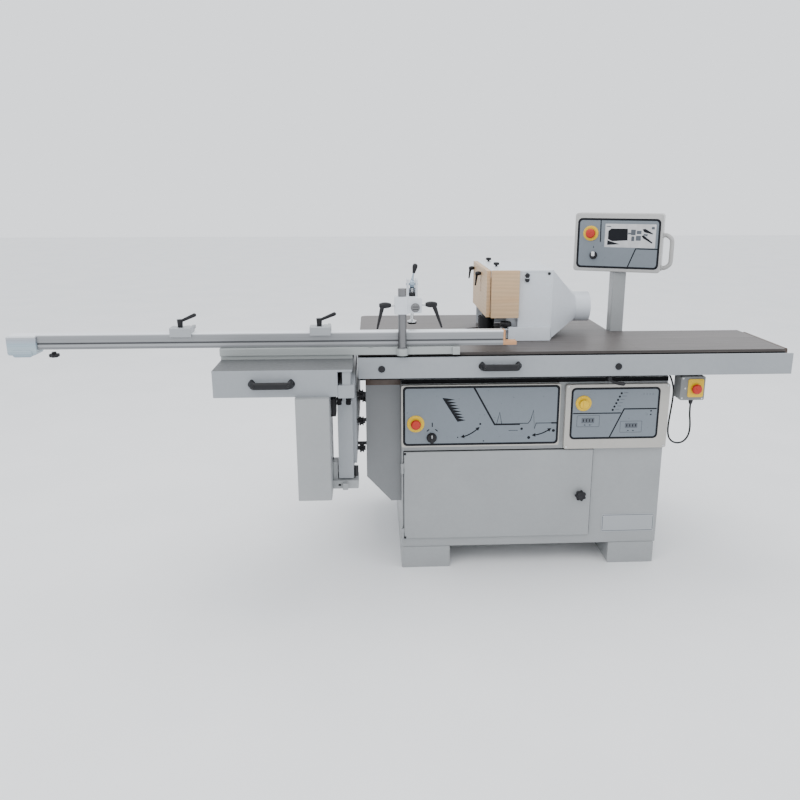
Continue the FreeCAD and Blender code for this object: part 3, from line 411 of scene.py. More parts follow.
def finish_mesh(name, bm, mat, body, smooth=35, bevel=0.0, segs=2, subd=0, replaces=(), mats=None):
    me = bpy.data.meshes.new(name)
    bmesh.ops.recalc_face_normals(bm, faces=bm.faces)
    for v in bm.verts:
        v.co = W(*v.co)
    bm.to_mesh(me)
    bm.free()
    o = bpy.data.objects.new(name, me)
    bpy.context.scene.collection.objects.link(o)
    for m in (mats or [mat]):
        me.materials.append(MATS[m])
    if bevel > 0:
        b = o.modifiers.new("bevel", "BEVEL")
        b.width = bevel / 1000.0
        b.segments = segs
        b.limit_method = "ANGLE"
        b.angle_limit = math.radians(30)
    if subd:
        s = o.modifiers.new("subd", "SUBSURF")
        s.levels = s.render_levels = subd
    if o.modifiers:
        dg = bpy.context.evaluated_depsgraph_get()
        me2 = bpy.data.meshes.new_from_object(o.evaluated_get(dg), depsgraph=dg)
        o.modifiers.clear()
        o.data = me2
        me2.name = name
    for p in o.data.polygons:
        p.use_smooth = True
    o.data.set_sharp_from_angle(angle=math.radians(smooth))
    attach(o, body)
    if replaces:
        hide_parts(*replaces)
    PIECES[name] = o
    return o


def basis(ax):
    a = Vector(ax).normalized()
    h = Vector((0, 0, 1)) if abs(a.z) < 0.9 else Vector((1, 0, 0))
    u = a.cross(h).normalized()
    v = a.cross(u).normalized()
    return a, u, v


def add_box(bm, x0, y0, z0, x1, y1, z1):
    r = bmesh.ops.create_cube(bm, size=1.0)
    for v in r["verts"]:
        v.co = Vector((x0 + (x1 - x0) * (v.co.x + 0.5), y0 + (y1 - y0) * (v.co.y + 0.5), z0 + (z1 - z0) * (v.co.z + 0.5)))
    return r["verts"]


def add_lathe(bm, origin, ax, prof, n=40, shape=None, mat=0):
    """Rings of (radius, height) about an axis, closed at both ends. shape(angle) scales the radius."""
    a, u, v = basis(ax)
    o = Vector(origin)
    rings = []
    for r, h in prof:
        if r <= 1e-6:
            rings.append([bm.verts.new(o + a * h)])
            continue
        ring = []
        for i in range(n):
            t = 2 * math.pi * i / n
            k = shape(t, r, h) if shape else 1.0
            ring.append(bm.verts.new(o + a * h + (u * math.cos(t) + v * math.sin(t)) * r * k))
        rings.append(ring)
    for p, q in zip(rings, rings[1:]):
        for i in range(n):
            j = (i + 1) % n
            if len(p) == 1 and len(q) > 1:
                f = bm.faces.new((p[0], q[i], q[j]))
            elif len(q) == 1 and len(p) > 1:
                f = bm.faces.new((p[i], p[j], q[0]))
            elif len(p) > 1:
                f = bm.faces.new((p[i], p[j], q[j], q[i]))
            else:
                continue
            f.material_index = mat
    for ring in (rings[0], rings[-1]):
        if len(ring) > 2:
            f = bm.faces.new(ring)
            f.material_index = mat
    return rings


def add_sweep(bm, pts, radii, n=20, squash=None, caps=True, mat=0, round_end=True):
    """A round or oval bar along points, with radius per point."""
    P = [Vector(p) for p in pts]
    if not hasattr(radii, "__len__"):
        radii = [radii] * len(P)
    T = []
    for i in range(len(P)):
        d = (P[min(i + 1, len(P) - 1)] - P[max(i - 1, 0)]).normalized()
        T.append(d)
    a, u, v = basis(T[0])
    rings = []
    prev = T[0]
    for p, t, r in zip(P, T, radii):
        q = prev.rotation_difference(t)
        u, v = q @ u, q @ v
        prev = t
        su, sv = squash or (1, 1)
        rings.append([bm.verts.new(p + (u * math.cos(2 * math.pi * i / n) * su + v * math.sin(2 * math.pi * i / n) * sv) * r) for i in range(n)])
    for p, q in zip(rings, rings[1:]):
        for i in range(n):
            f = bm.faces.new((p[i], p[(i + 1) % n], q[(i + 1) % n], q[i]))
            f.material_index = mat
    if caps:
        for ring in (rings[0], rings[-1]):
            f = bm.faces.new(ring)
            f.material_index = mat
    return rings


def smooth_path(pts, n=10):
    """Catmull-Rom samples through the points."""
    P = [Vector(p) for p in pts]
    P = [P[0] * 2 - P[1]] + P + [P[-1] * 2 - P[-2]]
    out = []
    for i in range(1, len(P) - 2):
        p0, p1, p2, p3 = P[i - 1:i + 3]
        for k in range(n):
            t = k / n
            out.append(0.5 * ((2 * p1) + (p2 - p0) * t + (2 * p0 - 5 * p1 + 4 * p2 - p3) * t * t + (3 * p1 - p0 - 3 * p2 + p3) * t ** 3))
    out.append(P[-2])
    return out


def round_rect(x0, z0, x1, z1, r, n=6):
    out = []
    for cx, cz, a0 in ((x1 - r, z1 - r, 0), (x0 + r, z1 - r, 90), (x0 + r, z0 + r, 180), (x1 - r, z0 + r, 270)):
        for i in range(n + 1):
            a = math.radians(a0 + 90 * i / n)
            out.append((cx + r * math.cos(a), cz + r * math.sin(a)))
    return out


class Face:
    """A flat front: maps (x, z, out) to layout space; out is the distance proud of the face."""

    def __init__(self, origin=(0, 0, 0), yaw=0.0):
        self.o = Vector(origin)
        self.r = Matrix.Rotation(math.radians(yaw), 3, "Z")

    def __call__(self, x, z, out):
        return self.o + self.r @ Vector((x, -out, z))

    def slab(self, bm, pts, lo, hi, mat=0):
        a = [bm.verts.new(self(x, z, lo)) for x, z in pts]
        b = [bm.verts.new(self(x, z, hi)) for x, z in pts]
        fs = [bm.faces.new(a[::-1]), bm.faces.new(b)]
        for i in range(len(pts)):
            j = (i + 1) % len(pts)
            fs.append(bm.faces.new((a[i], a[j], b[j], b[i])))
        for f in fs:
            f.material_index = mat
        return b

    def frame_ring(self, bm, outer, inner, lo, hi, mat=0):
        n = len(outer)
        ra = [[bm.verts.new(self(x, z, h)) for x, z in ps] for ps in (outer, inner) for h in (lo, hi)]
        ol, oh, il, ih = ra
        for i in range(n):
            j = (i + 1) % n
            for q in ((ol[i], ol[j], oh[j], oh[i]), (il[j], il[i], ih[i], ih[j]), (oh[i], oh[j], ih[j], ih[i]), (ol[j], ol[i], il[i], il[j])):
                f = bm.faces.new(q)
                f.material_index = mat

    def stroke(self, bm, pts, w, lo, hi, mat=0):
        """A printed line of even width with mitred corners."""
        P = [Vector(p) for p in pts]
        left, right = [], []
        for i, p in enumerate(P):
            d0 = (P[i] - P[i - 1]).normalized() if i > 0 else None
            d1 = (P[i + 1] - P[i]).normalized() if i < len(P) - 1 else None
            d = (d0 + d1).normalized() if d0 is not None and d1 is not None else (d0 or d1)
            nrm = Vector((-d.y, d.x))
            k = 1.0
            if d0 is not None and d1 is not None:
                k = 1.0 / max(0.5, d.dot(d1))
            left.append(p + nrm * w / 2 * k)
            right.append(p - nrm * w / 2 * k)
        poly = [(p.x, p.y) for p in left] + [(p.x, p.y) for p in reversed(right)]
        n = len(P)
        a = [bm.verts.new(self(x, z, lo)) for x, z in poly]
        b = [bm.verts.new(self(x, z, hi)) for x, z in poly]
        N = len(poly)
        for i in range(n - 1):
            for s, fl in ((b, False), (a, True)):
                q = [s[i], s[i + 1], s[N - 2 - i], s[N - 1 - i]]
                f = bm.faces.new(q[::-1] if fl else q)
                f.material_index = mat
        for i in range(N):
            j = (i + 1) % N
            f = bm.faces.new((a[i], a[j], b[j], b[i]))
            f.material_index = mat

    def tri(self, bm, p, q, r, lo, hi, mat=0):
        self.slab(bm, [p, q, r], lo, hi, mat)


def arc_pts(cx, cz, r, a0, a1, n=14):
    return [(cx + r * math.cos(math.radians(a0 + (a1 - a0) * i / n)), cz + r * math.sin(math.radians(a0 + (a1 - a0) * i / n))) for i in range(n + 1)]


# ---------------------------------------------------------------- hardware
def screw(name, pos, ax, r, body, mat="steel_bright", h=None, n=36):
    h = h or r * 0.55
    bm = bmesh.new()
    add_lathe(bm, pos, ax, [(r * 0.98, 0), (r, h * 0.3), (r * 0.97, h * 0.8), (r * 0.85, h), (r * 0.52, h), (r * 0.50, h * 0.25), (0, h * 0.2)], n,
              shape=None)
    return finish_mesh(name, bm, mat, body, smooth=40)


def lobed_knob(name, pos, ax, r, h, body, replaces=(), n=7, stem=(0, 0), mat="black_plastic", cap=None):
    """A star hand knob: fluted skirt, domed top and an optional stem below."""
    bm = bmesh.new()

    def shp(t, rr, hh):
        return 1.0 + 0.115 * math.cos(n * t) * min(1.0, rr / (0.8 * r))
    s0, sr = stem
    prof = []
    if s0 > 0:
        prof += [(sr, 0), (sr * 1.02, s0 * 0.8), (sr * 1.25, s0)]
    prof += [(r * 0.62, s0), (r * 0.80, s0 + h * 0.05), (r * 0.87, s0 + h * 0.18), (r * 0.885, s0 + h * 0.5), (r * 0.86, s0 + h * 0.78),
             (r * 0.76, s0 + h * 0.93), (r * 0.60, s0 + h * 0.985), (r * 0.40, s0 + h), (r * 0.36, s0 + h * 0.97), (0, s0 + h * 0.965)]
    add_lathe(bm, pos, ax, prof, 84, shape=lambda t, rr, hh: shp(t, rr, hh) if rr > r * 0.45 else 1.0)
    return finish_mesh(name, bm, mat, body, smooth=38, replaces=replaces)


def clamp_lever(name, hub, ax, hub_len, hub_r, tip, r0, r1, body, replaces=(), from_end=0.72, stud=(0, 0)):
    """Clamping lever: waisted hub with a button in its end, arm flowing out of it and thickening to a round end."""
    a = Vector(ax).normalized()
    bm = bmesh.new()
    L = hub_len
    add_lathe(bm, hub, ax, [(hub_r * 0.72, 0), (hub_r * 0.80, L * 0.04), (hub_r * 0.82, L * 0.35), (hub_r * 0.92, L * 0.6), (hub_r * 1.0, L * 0.78),
                            (hub_r * 0.98, L * 0.93), (hub_r * 0.86, L), (hub_r * 0.62, L), (hub_r * 0.58, L * 0.965), (0, L * 0.96)], 36)
    p0 = Vector(hub) + a * (L * from_end)
    t = Vector(tip)
    d = (t - p0)
    side = d.normalized()
    bow = a * (d.length * 0.10)
    pts = smooth_path([p0, p0 + d * 0.25 + bow * 0.9, p0 + d * 0.6 + bow * 0.9, t], 6)
    n = len(pts)
    rad = [r0 * (1.25 - 0.35 * min(1, i / (n * 0.3))) + (r1 - r0 * 0.9) * max(0, (i / (n - 1) - 0.2) / 0.8) for i in range(n)]
    rad[0] = r0 * 1.35
    end = [t + side * r1 * math.sin(math.radians(q)) for q in (25, 50, 70, 85)]
    rend = [r1 * math.cos(math.radians(q)) for q in (25, 50, 70, 85)]
    add_sweep(bm, pts + end, rad + rend, 20)
    if stud[0] > 0:
        add_lathe(bm, Vector(hub) - a * stud[0], ax, [(stud[1], 0), (stud[1], stud[0] + 2)], 20, mat=1)
    return finish_mesh(name, bm, None, body, smooth=42, replaces=replaces, mats=["black_plastic", "steel_bright"])


def oval_lever(name, hub, ax, hub_len, hub_r, tip, r0, r1, body, replaces=(), stud=(0, 0)):
    """Clamping lever with a barrel-shaped hub on a steel stud and a straight arm that tapers to its end."""
    a = Vector(ax).normalized()
    bm = bmesh.new()
    L = hub_len
    prof = [(hub_r * 0.55, 0)] + [(hub_r * (0.55 + 0.45 * math.sin(math.pi * q / 8) ** 0.7), L * q / 8) for q in range(1, 8)] + [(hub_r * 0.55, L), (hub_r * 0.35, L * 1.0), (0, L * 0.99)]
    add_lathe(bm, hub, ax, prof, 32)
    p0 = Vector(hub) + a * (L * 0.70)
    t = Vector(tip)
    d = t - p0
    u = d.normalized()
    pts = [p0 + d * q for q in (0.0, 0.12, 0.3, 0.5, 0.75, 1.0)]
    rad = [r0 * 1.25, r0 * 1.05, r0 * 0.92, r0 * 0.92 + (r1 - r0 * 0.92) * 0.35, r0 * 0.92 + (r1 - r0 * 0.92) * 0.7, r1]
    end = [t + u * r1 * math.sin(math.radians(q)) for q in (30, 60, 82)]
    rend = [r1 * math.cos(math.radians(q)) for q in (30, 60, 82)]
    add_sweep(bm, pts + end, rad + rend, 18)
    if stud[0] > 0:
        add_lathe(bm, Vector(hub) - a * stud[0], ax, [(stud[1], 0), (stud[1], stud[0] + 2)], 20, mat=1)
    return finish_mesh(name, bm, None, body, smooth=42, replaces=replaces, mats=["black_plastic", "steel_bright"])


def mushroom_button(name, pos, ax, r, body, node, stem=10.0):
    bm = bmesh.new()
    s = stem
    add_lathe(bm, pos, ax, [(r * 0.42, 3.8), (r * 0.42, s * 0.9), (r * 0.55, s * 0.98), (r * 0.86, s + 0.8), (r * 0.97, s + 2.2), (r, s + 4.5), (r * 0.99, s + 7.5),
                            (r * 0.93, s + 10.6), (r * 0.80, s + 13.2), (r * 0.60, s + 15), (r * 0.56, s + 14.7), (r * 0.50, s + 14.9), (r * 0.28, s + 15.6), (0, s + 15.8)], 56)
    return finish_mesh(name, bm, "signal_red", body, smooth=50, replaces=(node,))


def collar_disc(name, pos, ax, r, body, replaces=()):
    bm = bmesh.new()
    add_lathe(bm, pos, ax, [(r, 0.0), (r, 2.6), (r * 0.985, 3.3), (r * 0.93, 4.4), (r * 0.90, 5.2), (r * 0.72, 5.7), (r * 0.55, 5.2), (r * 0.47, 5.0), (r * 0.45, 3.0),
                            (r * 0.45, 0.0)], 64)
    return finish_mesh(name, bm, "signal_yellow", body, smooth=30, replaces=replaces)


def bridge_handle(name, x0, x1, yface, z, reach, body, replaces=()):
    """Moulded bridge handle: oval bar with swept feet and two screws."""
    bm = bmesh.new()
    cx = (x0 + x1) / 2
    foot = 11.0
    yb = yface - reach + 7.6
    path = smooth_path([(x0 + foot, yface - 0.2, z), (x0 + foot + 0.5, yface - reach * 0.45, z), (x0 + foot + 9, yb + 1.0, z), (x0 + foot + 26, yb, z), (cx, yb - 0.1, z),
                        (x1 - foot - 26, yb, z), (x1 - foot - 9, yb + 1.0, z), (x1 - foot - 0.5, yface - reach * 0.45, z), (x1 - foot, yface - 0.2, z)], 6)
    n = len(path)
    rad = []
    for i in range(n):
        t = abs(i / (n - 1) - 0.5) * 2
        rad.append(7.4 + 2.6 * max(0, (t - 0.75) / 0.25) ** 1.5)
    add_sweep(bm, path, rad, 24, squash=(1.0, 1.75))
    for x in (x0 + foot, x1 - foot):
        add_lathe(bm, (x, yface, z), (0, -1, 0), [(13.5, 0), (13.5, 2.0), (12.4, 4.0), (10, 5.0), (0, 5.0)], 36)
    o = finish_mesh(name, bm, "black_plastic", body, smooth=45, replaces=replaces)
    for i, x in enumerate((x0 + foot + 7, x1 - foot - 7)):
        screw(name + "_screw_%d" % (i + 1), (x, yface - reach + 1.0, z), (0, -1, 0), 4.6, body, mat="steel_dark")
    return o


# ---------------------------------------------------------------- finishes per solid on carried-over CAD nodes
def solids_of(o):
    """Groups the node's polygons by connected solid: [(poly indices, lo, hi)] in layout mm."""
    me = o.data
    key, vid = {}, []
    for v in me.vertices:
        k = (round(v.co.x, 5), round(v.co.y, 5), round(v.co.z, 5))
        vid.append(key.setdefault(k, len(key)))
    par = list(range(len(key)))

    def find(a):
        while par[a] != a:
            par[a] = par[par[a]]
            a = par[a]
        return a
    for p in me.polygons:
        r = find(vid[p.vertices[0]])
        for q in p.vertices[1:]:
            par[find(vid[q])] = r
    groups = {}
    for p in me.polygons:
        groups.setdefault(find(vid[p.vertices[0]]), []).append(p.index)
    out = []
    for ps in groups.values():
        lo, hi = [1e9] * 3, [-1e9] * 3
        for i in ps:
            for vi in me.polygons[i].vertices:
                c = me.vertices[vi].co
                q = (c.x * 1000 + OX, c.y * 1000 + OY, c.z * 1000)
                lo = [min(a, b) for a, b in zip(lo, q)]
                hi = [max(a, b) for a, b in zip(hi, q)]
        out.append((ps, lo, hi))
    return out


def refinish(node, rules):
    """rules: [(material, test(lo, hi))]; the first rule that holds sets that solid's finish."""
    o = NODES[node]
    me = o.data
    names = [m.name for m in me.materials]
    for ps, lo, hi in solids_of(o):
        for mat, test in rules:
            if test(lo, hi):
                if mat not in names:
                    me.materials.append(MATS[mat])
                    names.append(mat)
                k = names.index(mat)
                for i in ps:
                    me.polygons[i].material_index = k
                break


refinish("stop_block_left", [("black_plastic", lambda lo, hi: hi[2] > 1010)])
refinish("stop_block_right", [("black_plastic", lambda lo, hi: hi[2] > 1010)])
refinish("fence_extension_bar", [("end_handle", lambda lo, hi: hi[0] < -1200)])
refinish("rail_mount_plate", [("rubber_and_painted_shade", lambda lo, hi: hi[2] > 850 or (lo[0] > -68 and hi[0] - lo[0] < 8)), ("dark_iron", lambda lo, hi: lo[0] > -70)])
refinish("clamp_eccentric", [("black_plastic", lambda lo, hi: lo[2] > 1180)])
refinish("clamp_plunger", [("steel", lambda lo, hi: True)])
refinish("front_bar", [("end_brown_and_painted_shadow", lambda lo, hi: lo[0] > 1565), ("black_plastic", lambda lo, hi: hi[1] < 12 and hi[0] - lo[0] < 40), ("steel", lambda lo, hi: hi[1] > 100)])
refinish("fence_carrier", [("steel_bright", lambda lo, hi: lo[0] > 280 and hi[0] - lo[0] < 20)])
refinish("table_wing", [("end_brown_and_painted_shadow", lambda lo, hi: lo[0] > 1550)])
refinish("estop_box", [("black_plastic", lambda lo, hi: hi[2] < 705 or hi[0] - lo[0] < 30)])

# the worn top of the carriage plate
me = NODES["carriage_body"].data
me.materials.append(MATS["carriage_top"])
for p_ in me.polygons:
    if min(me.vertices[i].co.z for i in p_.vertices) > 0.8862:
        p_.material_index = 1

# ---------------------------------------------------------------- control panels
L = Face((0, 78, 0))
bm = bmesh.new()
L.slab(bm, round_rect(110, 528, 707, 757, 13), 0.02, 0.45, 0)
L.frame_ring(bm, round_rect(106, 524, 711, 761, 16), round_rect(114.5, 532.5, 702.5, 752.5, 10), 0.02, 0.85, 1)
for k in range(8):
    t = k / 7.0
    xl, zt, xr = 259 + 51 * t, 714 - 82 * t, 306 + 42 * t
    L.slab(bm, [(xl - 2, zt + 1), (xl + 6.2, zt - 12.8), (xl + 16, zt - 11.5), (xr, zt - 7.0), (xl + 16, zt - 1.0)], 0.4, 0.95, 1)
L.stroke(bm, [(379, 754), (461, 606), (560, 606)], 6.8, 0.4, 0.95, 1)
L.stroke(bm, [(469, 609), (480, 655), (488, 609)], 2.0, 0.4, 0.95, 1)
L.stroke(bm, [(560, 609), (592, 609), (601, 622), (611, 661), (617, 586), (623, 609), (684, 609)], 2.4, 0.4, 0.95, 1)
L.stroke(bm, [(682, 609), (703, 609)], 5.6, 0.4, 0.95, 1)
L.stroke(bm, [(516, 581), (552, 581)], 1.6, 0.4, 0.95, 1)


def bent_arrow(x0, z0, x1, z1, bow, w=4.6):
    mx, mz = (x0 + x1) / 2, (z0 + z1) / 2 + bow
    pts = []
    for i in range(15):
        t = i / 14
        pts.append(((1 - t) ** 2 * x0 + 2 * t * (1 - t) * mx + t * t * x1, (1 - t) ** 2 * z0 + 2 * t * (1 - t) * mz + t * t * z1))
    L.stroke(bm, pts[2:-2], w, 0.4, 0.95, 1)
    for tip, frm in ((pts[0], pts[3]), (pts[-1], pts[-4])):
        d = Vector((tip[0] - frm[0], tip[1] - frm[1])).normalized()
        n = Vector((-d.y, d.x))
        t0 = Vector(tip)
        bse = t0 - d * 15
        L.tri(bm, tuple(t0), tuple(bse + n * 8), tuple(bse - n * 8), 0.4, 0.95, 1)


bent_arrow(329, 557, 403, 597, -16)
bent_arrow(607, 560, 684, 588, -14)
for x, z, rr in ((405, 609, 4), (567, 587, 5), (596, 551, 6), (692, 578, 6), (318, 556, 2.5), (419, 540, 2.5)):
    L.slab(bm, arc_pts(x, z, rr, 0, 340, 17), 0.4, 0.95, 1)
for x0, z0, x1, z1 in ((219, 600, 219, 617), (198, 582, 207, 590), (231, 590, 240, 582)):
    L.stroke(bm, [(x0, z0), (x1, z1)], 4.0, 0.4, 0.95, 1)
finish_mesh("left_panel_face", bm, None, "machine", smooth=30, mats=["overlay", "print_black"])

bm = bmesh.new()
L.slab(bm, round_rect(760, 544, 1101, 744, 14), 0.02, 0.45, 0)
L.frame_ring(bm, round_rect(756, 540, 1105, 748, 18), round_rect(764, 548, 1097, 740, 11), 0.02, 0.85, 1)
for k in range(6):
    t = k / 5.0
    x, z = 952 - 31 * t, 724 - 66 * t
    L.slab(bm, arc_pts(x, z, 4.4, 0, 345, 15), 0.4, 0.95, 1)
    L.stroke(bm, [(x + 10, z + 2), (x + 26, z + 2)], 1.8, 0.4, 0.8, 2)
L.stroke(bm, [(766, 645), (955, 645)], 4.2, 0.4, 0.95, 1)
L.stroke(bm, [(914, 545), (966, 661), (1095, 661)], 5.0, 0.4, 0.95, 1)
for x0, z0, x1, z1, a0, b0, a1, b1 in ((782, 590, 872, 637, 801, 606, 851, 627), (954, 565, 1041, 612, 974, 584, 1023, 604)):
    L.frame_ring(bm, round_rect(x0, z0, x1, z1, 4), round_rect(x0 + 1.8, z0 + 1.8, x1 - 1.8, z1 - 1.8, 3), 0.4, 0.8, 2)
    L.slab(bm, round_rect(a0, b0, a1, b1, 2), 0.4, 0.9, 2)
    for k in range(4):
        x = a0 + 7 + k * (a1 - a0 - 14) / 3.0
        L.stroke(bm, [(x, b0 + 5), (x, b1 - 5)], 3.4, 0.85, 1.05, 1)
    for k in range(2):
        L.stroke(bm, [(a0 + 10 + 20 * k, z0 + 8), (a0 + 16 + 20 * k, z0 + 8)], 3.0, 0.4, 0.9, 1)
for z in (652, 637):
    L.slab(bm, arc_pts(1073, z, 3.2, 0, 345, 15), 0.4, 0.9, 1)
for x in (1040, 1052, 1064, 1076):
    L.stroke(bm, [(x, 716), (x, 724)], 1.6, 0.4, 0.8, 2)
finish_mesh("right_panel_face", bm, None, "machine", smooth=30, mats=["overlay", "print_black", "print_grey"])

# panel corner screws
for i, (x, z) in enumerate(((112, 768 - 6), (702, 762), (745, 753), (1133, 753), (745, 509), (1133, 509))):
    if i >= 2:
        screw("panel_screw_%d" % i, (x, 78, z), (0, -1, 0), 4.0, "machine")

collar_disc("left_collar", (155, 78, 613), (0, -1, 0), 33.5, "machine", replaces=("estop_collars",))
collar_disc("isolator_disc", (805, 78, 686), (0, -1, 0), 31, "machine", replaces=("estop_collars",))
mushroom_button("left_button", (155, 77.9, 613), (0, -1, 0), 19.5, "left_stop_button", "left_estop_button", 10)
mushroom_button("box_button", (1231, 51.9, 746), (0, -1, 0), 19.5, "box_stop_button", "box_estop_button", 9)

B = Face((0, 52, 0))
bm = bmesh.new()
B.frame_ring(bm, round_rect(1200, 712, 1261, 784, 7, 6), [(1231 + 13.4 * math.cos(math.radians(a)), 746 + 13.4 * math.sin(math.radians(a))) for a in [i * 360 / 28 + 0.01 for i in range(28)]], 0.0, 3.0)
finish_mesh("box_plate", bm, "signal_yellow", "machine", smooth=30, replaces=("estop_collars",), bevel=0.5)
for i, (x, z) in enumerate(((1180, 708), (1258, 706), (1180, 786), (1190, 747))):
    screw("box_screw_%d" % (i + 1), (x, 52, z), (0, -1, 0), 3.6, "machine")


def selector(name, pos, node, body, r=18, face=None, white=False):
    """Rotary selector: knurled base, raised grip bar with a white pointer."""
    f = face or Face((0, pos[1], 0))
    x, y, z = pos
    ax = f.r @ Vector((0, -1, 0))
    o = f(x, z, 0) if face is None else face(x, z, 46.1)
    bm = bmesh.new()
    add_lathe(bm, o, ax, [(r, 0), (r, 3), (r * 0.96, 4), (r * 0.90, 10), (r * 0.84, 11.6), (0, 11.9)], 60,
              shape=lambda t, rr, hh: 1.0 + (0.02 if 3.5 < hh < 11 else 0.0) * math.cos(30 * t))
    base = 46.1 if face is not None else 0.0
    g = Face(f.o, 0)
    g.r = f.r
    lo = base + 11
    hi = base + 20.5
    w, h = r * 0.31, r * 0.92
    body_pts = [(x - w, z - h * 0.9), (x - w * 0.6, z - h), (x + w * 0.6, z - h), (x + w, z - h * 0.9), (x + w, z + h * 0.9), (x + w * 0.6, z + h), (x - w * 0.6, z + h), (x - w, z + h * 0.9)]
    g.slab(bm, body_pts, lo, hi - 1.2)
    if white:
        g.slab(bm, round_rect(x - w - 1.2, z - 2, x + w + 1.2, z + h + 1.5, 3, 4), lo, hi + 0.2, 1)
    g.slab(bm, [(x + (px - x) * 0.85, z + (pz - z) * 0.94) for px, pz in body_pts], hi - 1.3, hi)
    g.slab(bm, round_rect(x - 1.4, z + h * 0.15, x + 1.4, z + h * 0.85, 1.2, 3), hi - 0.1, hi + 0.35, 1)
    return finish_mesh(name, bm, None, body, smooth=30, replaces=(node,), mats=["black_plastic", "chalk_white"], bevel=0.35)


selector("left_selector", (217, 78, 556), "left_selector_knob", "left_selector", 20)

bm = bmesh.new()
add_lathe(bm, (805, 77.9, 686), (0, -1, 0), [(12.4, 0), (12.4, 10), (15.5, 10.4), (17, 12), (17, 17.5), (16.2, 18.6), (0, 18.9)], 56,
          shape=lambda t, rr, hh: 1.0 + (0.018 if rr > 15 else 0) * math.cos(24 * t))
I2 = Face((0, 77.9, 0))
I2.slab(bm, [(800.5, 683), (802, 673), (808, 673), (809.5, 683), (809.5, 698), (807, 702), (803, 702), (800.5, 698)], 18.5, 21.5)
finish_mesh("isolator_knob", bm, "signal_yellow", "isolator", smooth=30, replaces=("main_isolator_knob",), bevel=0.4)

# ---------------------------------------------------------------- operator pod
PF = Face((1033, 486, 1131), -24.0)


def pod(p):
    return PF.o + PF.r @ Vector(p)


bm = bmesh.new()
rings = []
for y, ins, rr in ((-46, 3.5, 10), (-45.2, 1.2, 11), (-42.5, 0, 12), (51, 0, 12), (54.5, 1.3, 11), (56, 4, 10)):
    rings.append([bm.verts.new(pod((x, y, z))) for x, z in round_rect(-182 + ins, 20 + ins, 172 - ins, 258 - ins, rr, 8)])
for p, q in zip(rings, rings[1:]):
    for i in range(len(p)):
        bm.faces.new((p[i], p[(i + 1) % len(p)], q[(i + 1) % len(p)], q[i]))
bm.faces.new(rings[0])
bm.faces.new(rings[-1])
finish_mesh("pod_box", bm, "pod_grey", "pod", smooth=35, replaces=("pod_housing",))
bm = bmesh.new()
add_lathe(bm, pod((0, 0, 17.5)), (0, 0, 1), [(30, 0), (33, 0.8), (33, 3.4), (0, 3.4)], 48)
finish_mesh("pod_swivel_boss", bm, "pod_grey", "pod", smooth=35, replaces=("pod_housing",))
bm = bmesh.new()
add_sweep(bm, [pod(p) for p in smooth_path([(173, 0, 171.5), (188, 0, 170.5), (203, 0, 160), (208.6, 0, 145), (209, 0, 105), (208.6, 0, 66), (203, 0, 51), (188, 0, 40), (173, 0, 38.5)], 6)], 9, 24)
for z in (171, 39):
    add_lathe(bm, pod((172, 0, z)), PF.r @ Vector((1, 0, 0)), [(13, 0), (13, 2), (12, 3.2), (10, 4.4), (9.1, 6), (0, 6)], 32)
finish_mesh("pod_grip", bm, "pod_grey", "pod", smooth=40, replaces=("pod_housing",))
bm = bmesh.new()
PF.slab(bm, round_rect(-166, 38, 160, 234, 14), 46.02, 46.5, 0)
PF.frame_ring(bm, round_rect(-170, 34, 164, 238, 18), round_rect(-161.5, 42.5, 155.5, 229.5, 12), 46.02, 46.95, 1)
PF.stroke(bm, [(-76, 230), (-74, 142)], 4.2, 46.4, 47.0, 1)
PF.stroke(bm, [(42, 42), (70, 117), (156, 117)], 4.6, 46.4, 47.0, 1)
PF.slab(bm, round_rect(-57, 121, 146, 216, 3), 46.4, 46.8, 2)
PF.slab(bm, [(-44, 187), (-32, 197), (34, 197), (35.5, 150), (-27, 146), (-44, 154)][::-1], 46.7, 47.1, 1)
PF.slab(bm, [(-46, 149), (6, 134), (-46, 130)][::-1], 46.7, 47.1, 1)
PF.slab(bm, [(-52, 204), (-34, 203), (-34, 207), (-52, 207)], 46.7, 47.0, 3)
for x0, z0, x1, z1 in ((47, 172, 66, 194), (70, 176, 89, 190), (50, 148, 62, 167), (68, 150, 88, 170)):
    PF.slab(bm, round_rect(x0, z0, x1, z1, 2), 46.7, 47.05, 3)
PF.stroke(bm, [(36, 178), (47, 178)], 6, 46.7, 47.05, 3)
PF.slab(bm, [(92, 196), (104, 198), (134, 180), (134, 176), (100, 184)][::-1], 46.7, 47.1, 1)
PF.slab(bm, [(90, 170), (98, 172), (135, 144), (133, 139), (96, 160)][::-1], 46.7, 47.1, 1)
PF.slab(bm, [(98, 178), (116, 176), (112, 168), (98, 172)][::-1], 46.7, 47.1, 3)
PF.slab(bm, round_rect(128, 196, 140, 206, 2), 46.7, 47.0, 3)
PF.stroke(bm, [(-101, 116), (-101, 124)], 2.4, 46.4, 47.0, 1)
finish_mesh("pod_face", bm, None, "pod", smooth=30, mats=["overlay", "print_black", "print_white", "print_grey"])
collar_disc("pod_collar", pod((-115, -46, 176)), PF.r @ Vector((0, -1, 0)), 31, "pod", replaces=("pod_housing",))
mushroom_button("pod_button", pod((-115, -46.1, 176)), PF.r @ Vector((0, -1, 0)), 19.5, "pod_stop_button", "pod_estop_button", 10)
selector("pod_selector_grip", (-100, -46, 86), "pod_selector_knob", "pod_selector", 16, face=PF, white=True)

